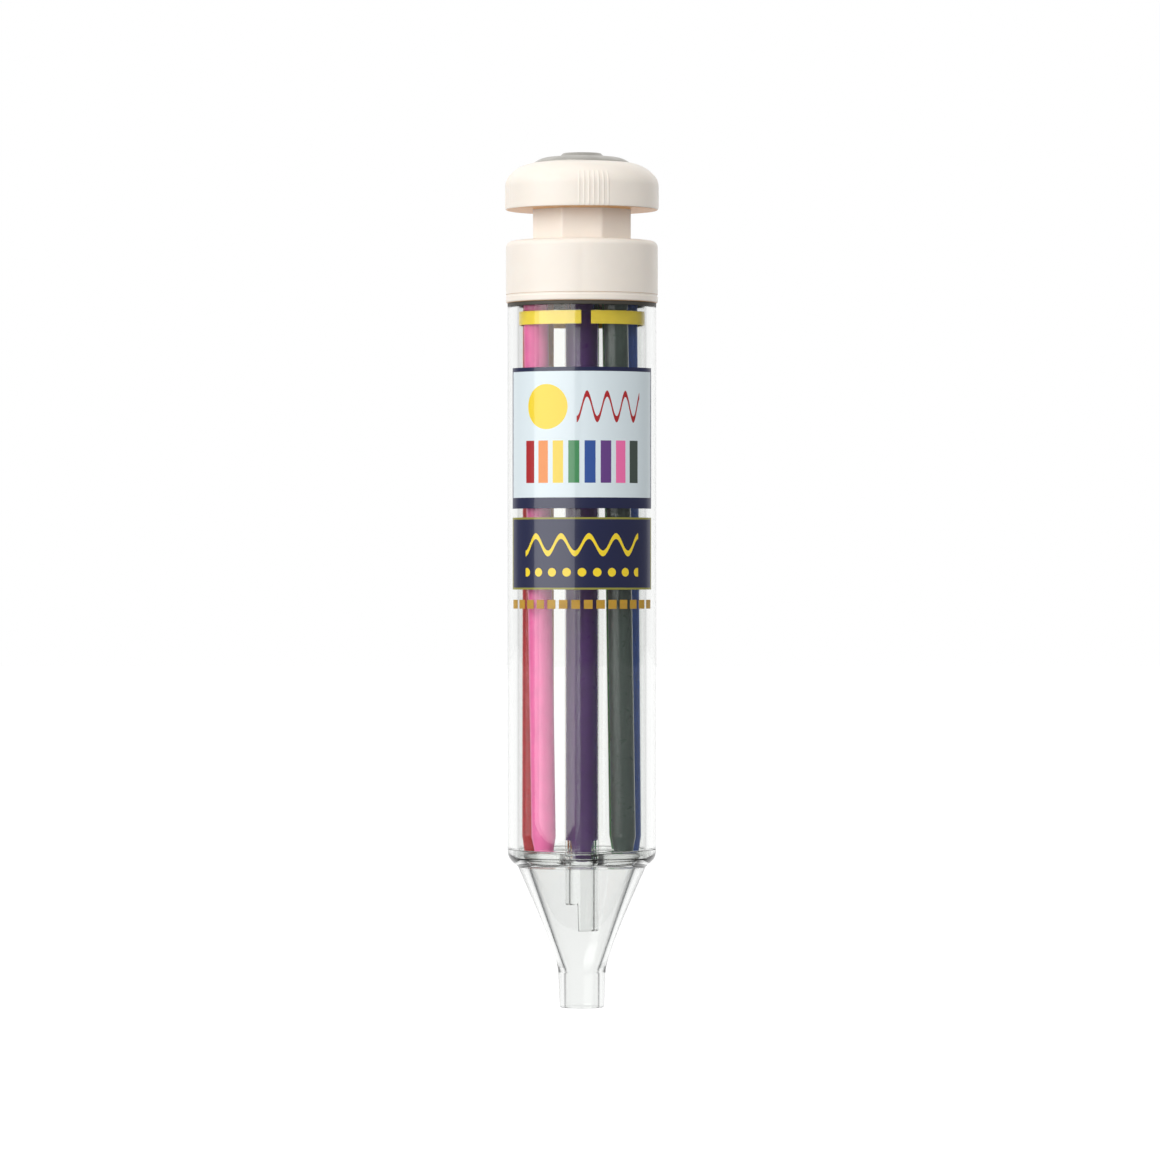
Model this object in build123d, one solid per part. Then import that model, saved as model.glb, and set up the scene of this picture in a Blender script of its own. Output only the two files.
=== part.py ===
"""Push-and-turn crayon with eight colours in a clear barrel.

The frame stands on the nozzle: +Z runs up the axis, the origin is the centre of the nozzle's mouth,
and the front, with the selected crayon, faces -Y. All sizes are in millimetres.
"""

import math
import os

from build123d import *

# Blocks stand on their lower face
STANDING = (Align.CENTER, Align.CENTER, Align.MIN)

# Clearances
RUNNING_GAP = 0.10
SEAT_GAP = 0.05
SOCKET_GAP = 0.05
FLANGE_GAP = 0.15

# Barrel tube
BARREL_RADIUS = 11.75
BARREL_WALL = 1.75
BARREL_FOOT = 23.9
BARREL_TOP = 115.0
JOINT_LIP = 0.9
FOOT_JOINT_HEIGHT = 1.1
SEAM_HEIGHT = 0.6

# Nose, with the handles of its curves as shares of their rise and reach
NOZZLE_ROOM = 0.85
NOZZLE_WALL = 0.9
NOZZLE_DRAFT = 0.25
NOZZLE_HEIGHT = 5.5
NOZZLE_EDGE = 0.3
FLARE_TOP_RADIUS = 10.1
SHOULDER_DROP = 1.7
FLARE_HANDLES = (0.12, 0.46, 0.36)
SHOULDER_HANDLES = (0.30, 0.40, 0.50)
LEDGE_WIDTH = 0.7

# Disc that the waiting crayons stand on
DISC_ROOM = 0.6
DISC_THICKNESS = 1.4
DISC_SIDE_GAP = 0.2
DISC_RISE = 0.8

# Crayons: the selected one on the axis, the others loose on a circle
CRAYON_RADIUS = 1.75
CRAYON_TIP_RADIUS = 1.35
CRAYON_TAPER = 2.4
SELECTED_DROP = 0.7
HOOP_CLEARANCE = 0.13
SELECTED = "purple"

# Turns from the front, in degrees, of each waiting crayon's foot and top
WAITING_TURNS = {
    "black": (53.5, 41.0),
    "blue": (92.0, 108.0),
    "green": (127.0, 139.5),
    "yellow": (180.0, 186.0),
    "orange": (234.0, 234.0),
    "red": (272.0, 265.5),
    "pink": (313.0, 297.0),
}
COLOURS = (SELECTED, *WAITING_TURNS)

# End plugs
PLUG_HEIGHT = 3.1
PLUG_FOOT_RISE = 0.9

# Spindle
SPINDLE_WALL = 0.87
SPINDLE_REACH = 10.9
SPINDLE_STEP = 4.3
SPINDLE_STEP_EDGE = 0.6

# Yellow ring
HOOP_RADIAL = 0.27
HOOP_DROP = 1.5
HOOP_HEIGHT = 2.1
HOOP_SPLIT = 1.5
HOOP_SPLIT_TURN = 3.7

# Collar
COLLAR_PROUD = 0.25
COLLAR_OVERLAP = 3.8
COLLAR_HEIGHT = 9.8
COLLAR_EDGE = 1.6
GROOVE_RISE = 1.0
GROOVE_HEIGHT = 0.35
GROOVE_DEPTH = 0.1

# Selector sleeve
SLEEVE_FLANGE = 1.2
SLEEVE_FLOOR = 0.8
SLEEVE_LIP = 1.0
SLEEVE_WALL = 0.9
BOSS_WALL = 1.4
BOSS_DEPTH = 2.0
INDEX_NOTCH = 0.5

# Index spring
INDEX_STRIP = 0.25
INDEX_ARC = 24.0
INDEX_ARC_SPARE = 3.0
INDEX_HEIGHT = 1.0
INDEX_POCKET = 0.5

# Knob
STEM_SIDES = 8
STEM_EDGE = 0.7
STEM_BORE = 5.6
STEM_CEILING = 2.4
STEM_SEAT = 1.5
KNOB_RADIUS = 12.05
KNOB_HEIGHT = 7.5
KNOB_SHOULDER_WIDTH = 5.4
KNOB_SHOULDER_HEIGHT = 3.8
KNOB_LOWER_EDGE = 0.25
PRESS_TRAVEL = 4.5
STEM_SPARE = 0.2
KNOB_SPARE = 0.4

# Ribs on the knob's rim
RIB_PATCHES = 4
RIBS_PER_PATCH = 7
RIB_PITCH = 3.7
RIB_PATCH_TURN = 9.0
RIB_RADIUS = 0.28
RIB_PROUD = 0.10
RIB_HEIGHT = 3.45

# Badge on the knob
BADGE_RADIUS = 7.5
BADGE_SINK = 0.8
BADGE_EDGE = 0.05
BADGE_DOME = 0.85
BADGE_ROUNDING = 2.0
BADGE_BOSS_RADIUS = 3.6
BADGE_BOSS = 0.6

# Knob screw
SCREW_RADIUS = 1.5
SCREW_HEAD_RADIUS = 2.8
SCREW_HEAD = 1.6
SCREW_END_ROOM = 0.6

# Stop ring on the stem
STOP_CATCH = 0.465
STOP_GROOVE_DEPTH = 0.4
STOP_THICKNESS = 0.6
STOP_WALL = 0.5
STOP_SPLIT = 2.4

# Return spring
SPRING_ROOM = 1.4
WIRE_RADIUS = 0.4
SPRING_TURNS = 6
GAP_SAMPLES = 40

# Radii that follow from the sizes above
BARREL_BORE = BARREL_RADIUS - BARREL_WALL
LIP_RADIUS = BARREL_RADIUS - JOINT_LIP
HOOP_RADIUS = BARREL_BORE - SEAT_GAP
HOOP_BORE = HOOP_RADIUS - HOOP_RADIAL
CIRCLE_RADIUS = HOOP_BORE - HOOP_CLEARANCE - CRAYON_RADIUS
NOZZLE_BORE = CRAYON_RADIUS + NOZZLE_ROOM
NOZZLE_RADIUS = NOZZLE_BORE + NOZZLE_WALL
NOZZLE_ROOT_RADIUS = NOZZLE_RADIUS + NOZZLE_DRAFT
DISC_RADIUS = BARREL_BORE - DISC_ROOM
FUNNEL_TOP_RADIUS = DISC_RADIUS - LEDGE_WIDTH
SPINDLE_BORE = CRAYON_RADIUS + RUNNING_GAP
SPINDLE_RADIUS = SPINDLE_BORE + SPINDLE_WALL
BOSS_BORE = SPINDLE_RADIUS + SOCKET_GAP
SLEEVE_RADIUS = BARREL_BORE - RUNNING_GAP
SLEEVE_BORE = SLEEVE_RADIUS - SLEEVE_WALL
STOP_RADIUS = SLEEVE_BORE - 2 * RUNNING_GAP
STEM_FLATS = 2 * (STOP_RADIUS - STOP_CATCH) * math.cos(math.pi / STEM_SIDES)
STOP_GROOVE_RADIUS = STEM_FLATS / 2 - STOP_GROOVE_DEPTH
FLANGE_RADIUS = LIP_RADIUS
COLLAR_RADIUS = BARREL_RADIUS + COLLAR_PROUD
COLLAR_BORE = LIP_RADIUS + FLANGE_GAP
COLLAR_NECK = SLEEVE_RADIUS + FLANGE_GAP
SPRING_RADIUS = STEM_BORE - SPRING_ROOM - WIRE_RADIUS

# Heights that follow from the sizes above
FOOT_JOINT_TOP = BARREL_FOOT + FOOT_JOINT_HEIGHT
FLARE_TOP = BARREL_FOOT - SHOULDER_DROP
DISC_TOP = BARREL_FOOT + DISC_RISE
DISC_FOOT = DISC_TOP - DISC_THICKNESS
LEDGE = DISC_FOOT - RUNNING_GAP
TIP = DISC_TOP + SEAT_GAP
SPINDLE_FOOT = LEDGE - SPINDLE_REACH
FLANGE_FOOT = BARREL_TOP + RUNNING_GAP
FLANGE_TOP = FLANGE_FOOT + SLEEVE_FLANGE
COLLAR_FOOT = BARREL_TOP - COLLAR_OVERLAP
COLLAR_TOP = COLLAR_FOOT + COLLAR_HEIGHT
SEAM_FOOT = COLLAR_FOOT - SEAM_HEIGHT
COLLAR_STEP = FLANGE_TOP + FLANGE_GAP
HOOP_TOP = COLLAR_FOOT - HOOP_DROP
HOOP_FOOT = HOOP_TOP - HOOP_HEIGHT
SLEEVE_TOP = COLLAR_TOP - RUNNING_GAP
LIP_FOOT = SLEEVE_TOP - SLEEVE_LIP
STOP_TOP = LIP_FOOT - RUNNING_GAP
STOP_FOOT = STOP_TOP - STOP_THICKNESS
STEM_FOOT = STOP_FOOT - STOP_WALL
FLOOR_TOP = STEM_FOOT - PRESS_TRAVEL - STEM_SPARE
FLOOR_FOOT = FLOOR_TOP - SLEEVE_FLOOR
BOSS_FOOT = FLOOR_FOOT - BOSS_DEPTH
PLUG_TOP = FLOOR_FOOT - 2 * RUNNING_GAP
PLUG_FOOT = PLUG_TOP - PLUG_HEIGHT
CRAYON_SHOULDER = PLUG_FOOT - PLUG_FOOT_RISE
KNOB_FOOT = COLLAR_TOP + PRESS_TRAVEL + KNOB_SPARE
KNOB_TOP = KNOB_FOOT + KNOB_HEIGHT
STEM_TOP = KNOB_FOOT + STEM_SEAT
SPRING_TOP = STEM_TOP - STEM_CEILING
BADGE_SEAT = KNOB_TOP - BADGE_SINK
SCREW_TOP = BADGE_SEAT - RUNNING_GAP
SCREW_NECK = SCREW_TOP - SCREW_HEAD
SCREW_FOOT = SPRING_TOP + SCREW_END_ROOM


def disc(radius, low, high):
    """A round block on the axis between two heights."""
    return Pos(0, 0, low) * Cylinder(radius, high - low, align=STANDING)


def block(width, depth, low, high):
    """A square block on the axis between two heights."""
    return Pos(0, 0, low) * Box(width, depth, high - low, align=STANDING)


def ring(inner, outer, low, high):
    """A round tube on the axis between two heights."""
    return disc(outer, low, high) - disc(inner, low, high)


def octagon(flats, low, high):
    """A many-sided block on the axis with one flat facing the front."""
    outline = RegularPolygon(flats / 2, STEM_SIDES, major_radius=False, rotation=180 / STEM_SIDES)
    return Pos(0, 0, low) * extrude(outline, high - low)


def turned(*edges):
    """A solid of revolution about the axis from edges given as (radius, height)."""
    return revolve(Plane.XZ * make_face(edges), Axis.Z)


def front_turn(degrees):
    """Turns a shape about the axis, counted from the front and positive to the right."""
    return Rot(0, 0, degrees)


def circle_point(degrees, height):
    """A point on the crayons' circle at an angle from the front."""
    angle = math.radians(degrees)
    return Vector(CIRCLE_RADIUS * math.sin(angle), -CIRCLE_RADIUS * math.cos(angle), height)


def crayon_ends(colour):
    """The shoulder at the top and the tip at the foot of one crayon's axis."""
    if colour == SELECTED:
        return Vector(0, 0, CRAYON_SHOULDER), Vector(0, 0, TIP - SELECTED_DROP)
    foot, top = WAITING_TURNS[colour]
    return circle_point(top, CRAYON_SHOULDER), circle_point(foot, TIP)


def make_barrel_tube():
    """The clear thick-walled tube, stepped at both ends for the nose and the collar."""
    tube = disc(BARREL_RADIUS, FOOT_JOINT_TOP, SEAM_FOOT)
    tube += disc(LIP_RADIUS, BARREL_FOOT, BARREL_TOP)
    return tube - disc(BARREL_BORE, BARREL_FOOT, BARREL_TOP)


def flared(start, end, handles):
    """A curve that leaves its low end upwards and flares out towards its high end."""
    low, high, reach = handles
    out = end[0] - start[0]
    rise = end[1] - start[1]
    lower = (start[0], start[1] + low * rise)
    upper = (start[0] + reach * out, start[1] + high * rise)
    return Bezier(start, lower, upper, end)


def shouldered(start, end, handles):
    """A curve that leaves its low end outwards and turns upwards into its high end."""
    low, high, reach = handles
    out = end[0] - start[0]
    rise = end[1] - start[1]
    lower = (start[0] + reach * out, start[1] + low * rise)
    upper = (end[0], start[1] + high * rise)
    return Bezier(start, lower, upper, end)


def make_nose_cone():
    """The clear flared nose: a nozzle, a funnel that leads to it, and a rim round the tube's foot."""
    mouth = (NOZZLE_RADIUS - NOZZLE_EDGE, 0)
    edge = (NOZZLE_RADIUS, NOZZLE_EDGE)
    root = (NOZZLE_ROOT_RADIUS, NOZZLE_HEIGHT)
    flare_top = (FLARE_TOP_RADIUS, FLARE_TOP)
    rim = (BARREL_RADIUS, FOOT_JOINT_TOP)
    outside = turned(
        Line((0, 0), mouth),
        Line(mouth, edge),
        Line(edge, root),
        flared(root, flare_top, FLARE_HANDLES),
        shouldered(flare_top, rim, SHOULDER_HANDLES),
        Line(rim, (0, FOOT_JOINT_TOP)),
        Line((0, FOOT_JOINT_TOP), (0, 0)),
    )
    throat = (NOZZLE_BORE, NOZZLE_HEIGHT)
    funnel_top = (FUNNEL_TOP_RADIUS, LEDGE)
    inside = turned(
        Line((0, 0), (NOZZLE_BORE, 0)),
        Line((NOZZLE_BORE, 0), throat),
        Line(throat, funnel_top),
        Line(funnel_top, (0, LEDGE)),
        Line((0, LEDGE), (0, 0)),
    )
    nose = outside - inside
    nose -= disc(DISC_RADIUS + DISC_SIDE_GAP, LEDGE, BARREL_FOOT)
    return nose - disc(LIP_RADIUS + SEAT_GAP, BARREL_FOOT, FOOT_JOINT_TOP)


def make_seam_ring():
    """The thin dark ring in the seam between the barrel and the collar."""
    return ring(LIP_RADIUS + SEAT_GAP, BARREL_RADIUS, SEAM_FOOT, COLLAR_FOOT)


def make_yellow_ring():
    """The split yellow band that lies in the barrel's bore near the top."""
    band = ring(HOOP_BORE, HOOP_RADIUS, HOOP_FOOT, HOOP_TOP)
    split = Pos(0, -HOOP_RADIUS, 0) * block(HOOP_SPLIT, HOOP_RADIUS, HOOP_FOOT, HOOP_TOP)
    return band - front_turn(HOOP_SPLIT_TURN) * split


def make_collar():
    """The collar that closes the barrel, holds the sleeve's flange down and houses the index spring."""
    body = disc(COLLAR_RADIUS, COLLAR_FOOT, COLLAR_TOP)
    body = fillet(body.edges().group_by(Axis.Z)[-1], COLLAR_EDGE)
    body -= disc(COLLAR_BORE, COLLAR_FOOT, COLLAR_STEP)
    body -= disc(COLLAR_NECK, COLLAR_STEP, COLLAR_TOP)
    groove_foot = COLLAR_FOOT + GROOVE_RISE
    body -= ring(COLLAR_RADIUS - GROOVE_DEPTH, COLLAR_RADIUS, groove_foot, groove_foot + GROOVE_HEIGHT)
    pocket = (COLLAR_BORE - SEAT_GAP, COLLAR_BORE + INDEX_POCKET, INDEX_ARC + INDEX_ARC_SPARE)
    return body - index_arc(*pocket, FLANGE_FOOT, COLLAR_STEP)


def index_arc(inner, outer, arc, low, high):
    """A curved block at the back of the collar, between two radii and over an arc."""
    return back_wedge(arc, outer, low, high) & ring(inner, outer, low, high)


def back_wedge(arc, radius, low, high):
    """A wedge from the axis to the back that covers an arc in degrees."""
    half = math.radians(arc / 2)
    far = 2 * radius
    corner = (far * math.sin(half), far * math.cos(half))
    outline = make_face(Polyline((0, 0), corner, (-corner[0], corner[1]), close=True))
    return Pos(0, 0, low) * extrude(outline, high - low)


def make_index_spring():
    """The bowed strip with a nib that clicks over the flange's notches."""
    low = FLANGE_FOOT + RUNNING_GAP
    outer = COLLAR_BORE + INDEX_POCKET - SEAT_GAP
    strip = index_arc(outer - INDEX_STRIP, outer, INDEX_ARC, low, low + INDEX_HEIGHT)
    nib_reach = outer - INDEX_STRIP / 2 - FLANGE_RADIUS - RUNNING_GAP
    nib_radius = nib_reach / 2
    nib = Pos(0, FLANGE_RADIUS + RUNNING_GAP + nib_radius, 0) * disc(nib_radius, low, low + INDEX_HEIGHT)
    return strip + nib


def make_selector_sleeve():
    """The sleeve that the stem turns, with a notched flange, a floor and a many-sided lip over its bore."""
    sleeve = disc(SLEEVE_RADIUS, FLOOR_FOOT, SLEEVE_TOP)
    sleeve += disc(FLANGE_RADIUS, FLANGE_FOOT, FLANGE_TOP)
    sleeve += disc(BOSS_BORE + BOSS_WALL, BOSS_FOOT, FLOOR_FOOT)
    sleeve -= disc(SLEEVE_BORE, FLOOR_TOP, LIP_FOOT)
    sleeve -= octagon(STEM_FLATS + 2 * RUNNING_GAP, LIP_FOOT, SLEEVE_TOP)
    sleeve -= disc(BOSS_BORE, BOSS_FOOT, FLOOR_FOOT)
    notch = Pos(0, FLANGE_RADIUS, 0) * disc(INDEX_NOTCH, FLANGE_FOOT, FLANGE_TOP)
    for index in range(len(COLOURS)):
        sleeve -= front_turn(360 / len(COLOURS) * index) * notch
    return sleeve


def make_spindle():
    """The clear channel that holds the selected crayon, open to the back and stepped at its foot."""
    top = FLOOR_FOOT - SEAT_GAP
    rod = ring(SPINDLE_BORE, SPINDLE_RADIUS, SPINDLE_FOOT, top)
    mouth = block(2 * SPINDLE_BORE, SPINDLE_RADIUS, SPINDLE_FOOT, BOSS_FOOT - SPINDLE_WALL)
    step = block(2 * SPINDLE_RADIUS, 2 * SPINDLE_RADIUS, SPINDLE_FOOT, SPINDLE_FOOT + SPINDLE_STEP)
    rod -= Pos(0, SPINDLE_RADIUS / 2, 0) * mouth
    return rod - Pos(-SPINDLE_RADIUS - SPINDLE_STEP_EDGE, 0, 0) * step


def make_rest_disc():
    """The clear disc on the spindle that carries the waiting crayons."""
    return ring(SPINDLE_RADIUS + SOCKET_GAP, DISC_RADIUS, DISC_FOOT, DISC_TOP)


def make_crayon(colour):
    """One wax stick with a tapered tip and a round top, along the line between its two ends."""
    top, tip = crayon_ends(colour)
    length = (top - tip).length
    shoulder = (CRAYON_RADIUS, CRAYON_TAPER)
    stick = turned(
        Line((0, 0), (CRAYON_TIP_RADIUS, 0)),
        Line((CRAYON_TIP_RADIUS, 0), shoulder),
        Line(shoulder, (CRAYON_RADIUS, length)),
        CenterArc((0, length), CRAYON_RADIUS, 0, 90),
        Line((0, length + CRAYON_RADIUS), (0, 0)),
    )
    return Plane(origin=tip, z_dir=top - tip).location * stick


def make_plug(colour):
    """The short guide that caps one crayon, with a round cup over the crayon's top."""
    top, _ = crayon_ends(colour)
    plug = Pos(top.X, top.Y, 0) * disc(CRAYON_RADIUS, PLUG_FOOT, PLUG_TOP)
    return plug - Pos(*top) * Sphere(CRAYON_RADIUS + SOCKET_GAP)


def make_knob_cap():
    """The mushroom knob with a rounded shoulder, ribbed patches, and seats for stem, screw and badge."""
    flat = (KNOB_RADIUS - KNOB_SHOULDER_WIDTH, KNOB_TOP)
    side = (KNOB_RADIUS, KNOB_TOP - KNOB_SHOULDER_HEIGHT)
    lower = (KNOB_RADIUS, KNOB_FOOT + KNOB_LOWER_EDGE)
    under = (KNOB_RADIUS - KNOB_LOWER_EDGE, KNOB_FOOT)
    cap = turned(
        Line((0, KNOB_FOOT), under),
        Line(under, lower),
        Line(lower, side),
        EllipticalCenterArc(
            (flat[0], side[1]), KNOB_SHOULDER_WIDTH, KNOB_SHOULDER_HEIGHT, start_angle=0, arc_size=90
        ),
        Line(flat, (0, KNOB_TOP)),
        Line((0, KNOB_TOP), (0, KNOB_FOOT)),
    )
    rib_foot = KNOB_FOOT + KNOB_LOWER_EDGE
    rib = Pos(0, RIB_RADIUS - KNOB_RADIUS - RIB_PROUD, 0) * disc(RIB_RADIUS, rib_foot, rib_foot + RIB_HEIGHT)
    for patch in range(RIB_PATCHES):
        for number in range(RIBS_PER_PATCH):
            offset = (number - (RIBS_PER_PATCH - 1) / 2) * RIB_PITCH
            cap += front_turn(RIB_PATCH_TURN + 360 / RIB_PATCHES * patch + offset) * rib
    cap -= octagon(STEM_FLATS + 2 * SEAT_GAP, KNOB_FOOT, STEM_TOP)
    cap -= disc(BADGE_RADIUS + SEAT_GAP, BADGE_SEAT, KNOB_TOP)
    cap -= disc(SCREW_HEAD_RADIUS + SEAT_GAP, SCREW_NECK, BADGE_SEAT)
    return cap - disc(SCREW_RADIUS + SEAT_GAP, STEM_TOP, SCREW_NECK)


def make_knob_badge():
    """The plain grey domed disc set in the knob's top."""
    rim = BADGE_SEAT + BADGE_SINK + BADGE_EDGE
    crown = rim + BADGE_DOME
    return turned(
        Line((0, BADGE_SEAT), (BADGE_RADIUS, BADGE_SEAT)),
        Line((BADGE_RADIUS, BADGE_SEAT), (BADGE_RADIUS, rim)),
        Bezier((BADGE_RADIUS, rim), (BADGE_RADIUS - BADGE_ROUNDING, crown), (BADGE_BOSS_RADIUS, crown)),
        Line((BADGE_BOSS_RADIUS, crown), (BADGE_BOSS_RADIUS - BADGE_BOSS, crown + BADGE_BOSS)),
        Line((BADGE_BOSS_RADIUS - BADGE_BOSS, crown + BADGE_BOSS), (0, crown + BADGE_BOSS)),
        Line((0, crown + BADGE_BOSS), (0, BADGE_SEAT)),
    )


def make_knob_stem():
    """The hollow stem with flat sides that slides in the sleeve and turns it, grooved for its stop ring."""
    stem = octagon(STEM_FLATS, STEM_FOOT, STEM_TOP)
    stem = fillet(stem.edges().filter_by(Axis.Z), STEM_EDGE)
    stem -= ring(STOP_GROOVE_RADIUS, STEM_FLATS, STOP_FOOT, STOP_TOP)
    stem -= disc(STEM_BORE, STEM_FOOT, SPRING_TOP)
    return stem - disc(SCREW_RADIUS + SEAT_GAP, SCREW_FOOT - SEAT_GAP, STEM_TOP)


def make_knob_screw():
    """The screw under the badge that holds the knob's cap on its stem."""
    return disc(SCREW_RADIUS, SCREW_FOOT, SCREW_NECK) + disc(SCREW_HEAD_RADIUS, SCREW_NECK, SCREW_TOP)


def make_stop_ring():
    """The split ring in the stem's groove that catches under the sleeve's lip."""
    clip = ring(STOP_GROOVE_RADIUS + SEAT_GAP, STOP_RADIUS, STOP_FOOT + SEAT_GAP, STOP_TOP - SEAT_GAP)
    return clip - Pos(0, STOP_RADIUS, 0) * block(STOP_SPLIT, STOP_RADIUS, STOP_FOOT, STOP_TOP)


def helix_point(turn, low, rise):
    """A point and the unit direction of the spring's line after a number of turns."""
    angle = 2 * math.pi * turn
    point = Vector(SPRING_RADIUS * math.cos(angle), SPRING_RADIUS * math.sin(angle), low + rise * turn)
    slope = Vector(-SPRING_RADIUS * math.sin(angle), SPRING_RADIUS * math.cos(angle), rise / (2 * math.pi))
    return point, slope.normalized()


def biarc(start, start_way, end, end_way):
    """Two arcs that leave one point and reach another along given directions."""
    chord = end - start
    along = chord.dot(start_way + end_way)
    spread = 2 * (1 - start_way.dot(end_way))
    reach = (math.sqrt(along * along + spread * chord.dot(chord)) - along) / spread
    first = start + start_way * reach
    second = end - end_way * reach
    middle = (first + second) * 0.5
    middle_way = (second - first).normalized()
    return [TangentArc(start, middle, tangent=start_way), TangentArc(middle, end, tangent=middle_way)]


def least_gap(low, rise):
    """The least gap between the wire and itself, measured on points more than half a turn apart."""
    points = [helix_point(step / GAP_SAMPLES, low, rise)[0] for step in range(GAP_SAMPLES * SPRING_TURNS + 1)]
    apart = GAP_SAMPLES // 2
    gaps = [(a - b).length for place, a in enumerate(points) for b in points[place + apart:]]
    return min(gaps) - 2 * WIRE_RADIUS


def make_return_spring():
    """The coil spring in the stem, between the sleeve's floor and the stem's ceiling."""
    low = FLOOR_TOP + WIRE_RADIUS + SEAT_GAP
    high = SPRING_TOP - WIRE_RADIUS - SEAT_GAP
    rise = (high - low) / SPRING_TURNS
    edges = []
    for quarter in range(4 * SPRING_TURNS):
        edges += biarc(*helix_point(quarter / 4, low, rise), *helix_point((quarter + 1) / 4, low, rise))
    path = Wire(edges)
    start, way = helix_point(0, low, rise)
    print("spring: least gap to itself", round(least_gap(low, rise), 2), "mm")
    return sweep(Plane(origin=start, z_dir=way) * Circle(WIRE_RADIUS), path)


def make_parts():
    """Every piece by its name."""
    parts = {
        "barrel_tube": make_barrel_tube(),
        "nose_cone": make_nose_cone(),
        "seam_ring": make_seam_ring(),
        "yellow_ring": make_yellow_ring(),
        "collar": make_collar(),
        "index_spring": make_index_spring(),
        "selector_sleeve": make_selector_sleeve(),
        "spindle": make_spindle(),
        "rest_disc": make_rest_disc(),
        "knob_cap": make_knob_cap(),
        "knob_badge": make_knob_badge(),
        "knob_stem": make_knob_stem(),
        "knob_screw": make_knob_screw(),
        "stop_ring": make_stop_ring(),
        "return_spring": make_return_spring(),
    }
    for colour in COLOURS:
        parts["crayon_" + colour] = make_crayon(colour)
        parts["plug_" + colour] = make_plug(colour)
    return parts


os.makedirs("parts", exist_ok=True)
for name, solid in make_parts().items():
    export_step(solid, "parts/" + name + ".step")
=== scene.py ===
"""Looks of a push-and-turn crayon: a clear barrel with coloured wax sticks, a cream collar and a cream knob.

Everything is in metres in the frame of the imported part: +Z up the axis, the nozzle's mouth at the origin,
and the front towards -Y.
"""

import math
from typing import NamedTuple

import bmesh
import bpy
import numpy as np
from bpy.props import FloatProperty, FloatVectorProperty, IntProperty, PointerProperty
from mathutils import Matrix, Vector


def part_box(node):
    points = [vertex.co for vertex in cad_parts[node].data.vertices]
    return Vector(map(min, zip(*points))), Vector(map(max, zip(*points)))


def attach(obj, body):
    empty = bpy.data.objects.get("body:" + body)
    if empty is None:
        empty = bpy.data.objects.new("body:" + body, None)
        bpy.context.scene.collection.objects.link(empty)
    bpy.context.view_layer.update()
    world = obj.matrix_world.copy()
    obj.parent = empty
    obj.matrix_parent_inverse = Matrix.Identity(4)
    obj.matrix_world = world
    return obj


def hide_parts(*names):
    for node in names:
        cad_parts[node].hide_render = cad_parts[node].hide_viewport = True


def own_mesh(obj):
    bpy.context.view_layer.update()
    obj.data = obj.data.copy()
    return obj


bl_info = {
    "name": "Push Crayon Looks",
    "version": (1, 0, 0),
    "blender": (4, 5, 0),
    "location": "View3D > Sidebar > Crayon",
    "description": "Builds the visible pieces, finishes and studio of a push-and-turn crayon",
    "category": "Add Mesh",
}

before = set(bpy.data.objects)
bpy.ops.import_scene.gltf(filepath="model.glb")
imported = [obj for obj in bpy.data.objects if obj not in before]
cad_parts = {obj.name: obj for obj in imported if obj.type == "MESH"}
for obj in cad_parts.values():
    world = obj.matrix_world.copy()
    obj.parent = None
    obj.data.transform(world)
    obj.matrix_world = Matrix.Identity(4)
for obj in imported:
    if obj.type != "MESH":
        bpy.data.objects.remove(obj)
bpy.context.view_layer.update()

MM = 0.001
FULL_TURN = 2 * math.pi
PRINT_SLOT = "label_print"
WHITE = (1.0, 1.0, 1.0, 1.0)

# Meshing: points nearer than this are one, a point at HOLD from each end keeps a long side straight, a
# rounding takes up less than half a side, and edges over the angle stay sharp
MERGE_DISTANCE = 0.001 * MM
HOLD = 0.06 * MM
LONG_SIDE = 8 * HOLD
SIDE_SHARE = 0.49
SHARP_ANGLE = math.radians(38)
LEAST_ROUNDING = 1e-7
TINY = 1e-9

# Turns from the front, in degrees, of each waiting crayon's foot and top
SELECTED = "purple"
WAITING_TURNS = {
    "black": (53.5, 41.0),
    "blue": (92.0, 108.0),
    "green": (127.0, 139.5),
    "yellow": (180.0, 186.0),
    "orange": (234.0, 234.0),
    "red": (272.0, 265.5),
    "pink": (313.0, 297.0),
}
COLOURS = (SELECTED, *WAITING_TURNS)

# Counts of like things
STEM_SIDES = 8
RIB_PATCHES = 4
RIBS_PER_PATCH = 7
SPRING_TURNS = 6
DASHES = 14

# Steps of curves and grids
CORNER_STEPS = 6
FINE_CORNER_STEPS = 10
KNOB_EDGE_STEPS = 8
CURVE_STEPS = 28
SHOULDER_STEPS = 40
RIM_STEPS = 28
RIB_STEPS = 22
RIB_MARGIN = 0.2
BETWEEN_RIBS_STEPS = 20
SPINDLE_STEPS = 60
STICK_STEPS = 72
CROWN_STEPS = 12
SPRING_STEPS = 240
WIRE_STEPS = 16
PRINT_STEPS = 120
DASH_STEPS = 10

# Two handles of each curve, as shares of its way out and of its rise, the ease of the badge's dome, and the
# opening of the badge's seat as a share of its soft edge
FLARE_HANDLES = ((0.0, 0.12), (0.36, 0.46))
SHOULDER_HANDLES = ((0.50, 0.30), (1.0, 0.40))
BADGE_EASE = 0.6
SEAT_SHARE = 0.3


class Grain(NamedTuple):
    """Numbers of a moulded finish: the shade of its clouds, the scales of clouds and grain, the roughness and
    its spread, and the bump's strength and its depth in millimetres."""

    shade: float
    cloud: float
    grain: float
    roughness: float
    spread: float
    bump: float
    depth: float = 0.02


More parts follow.
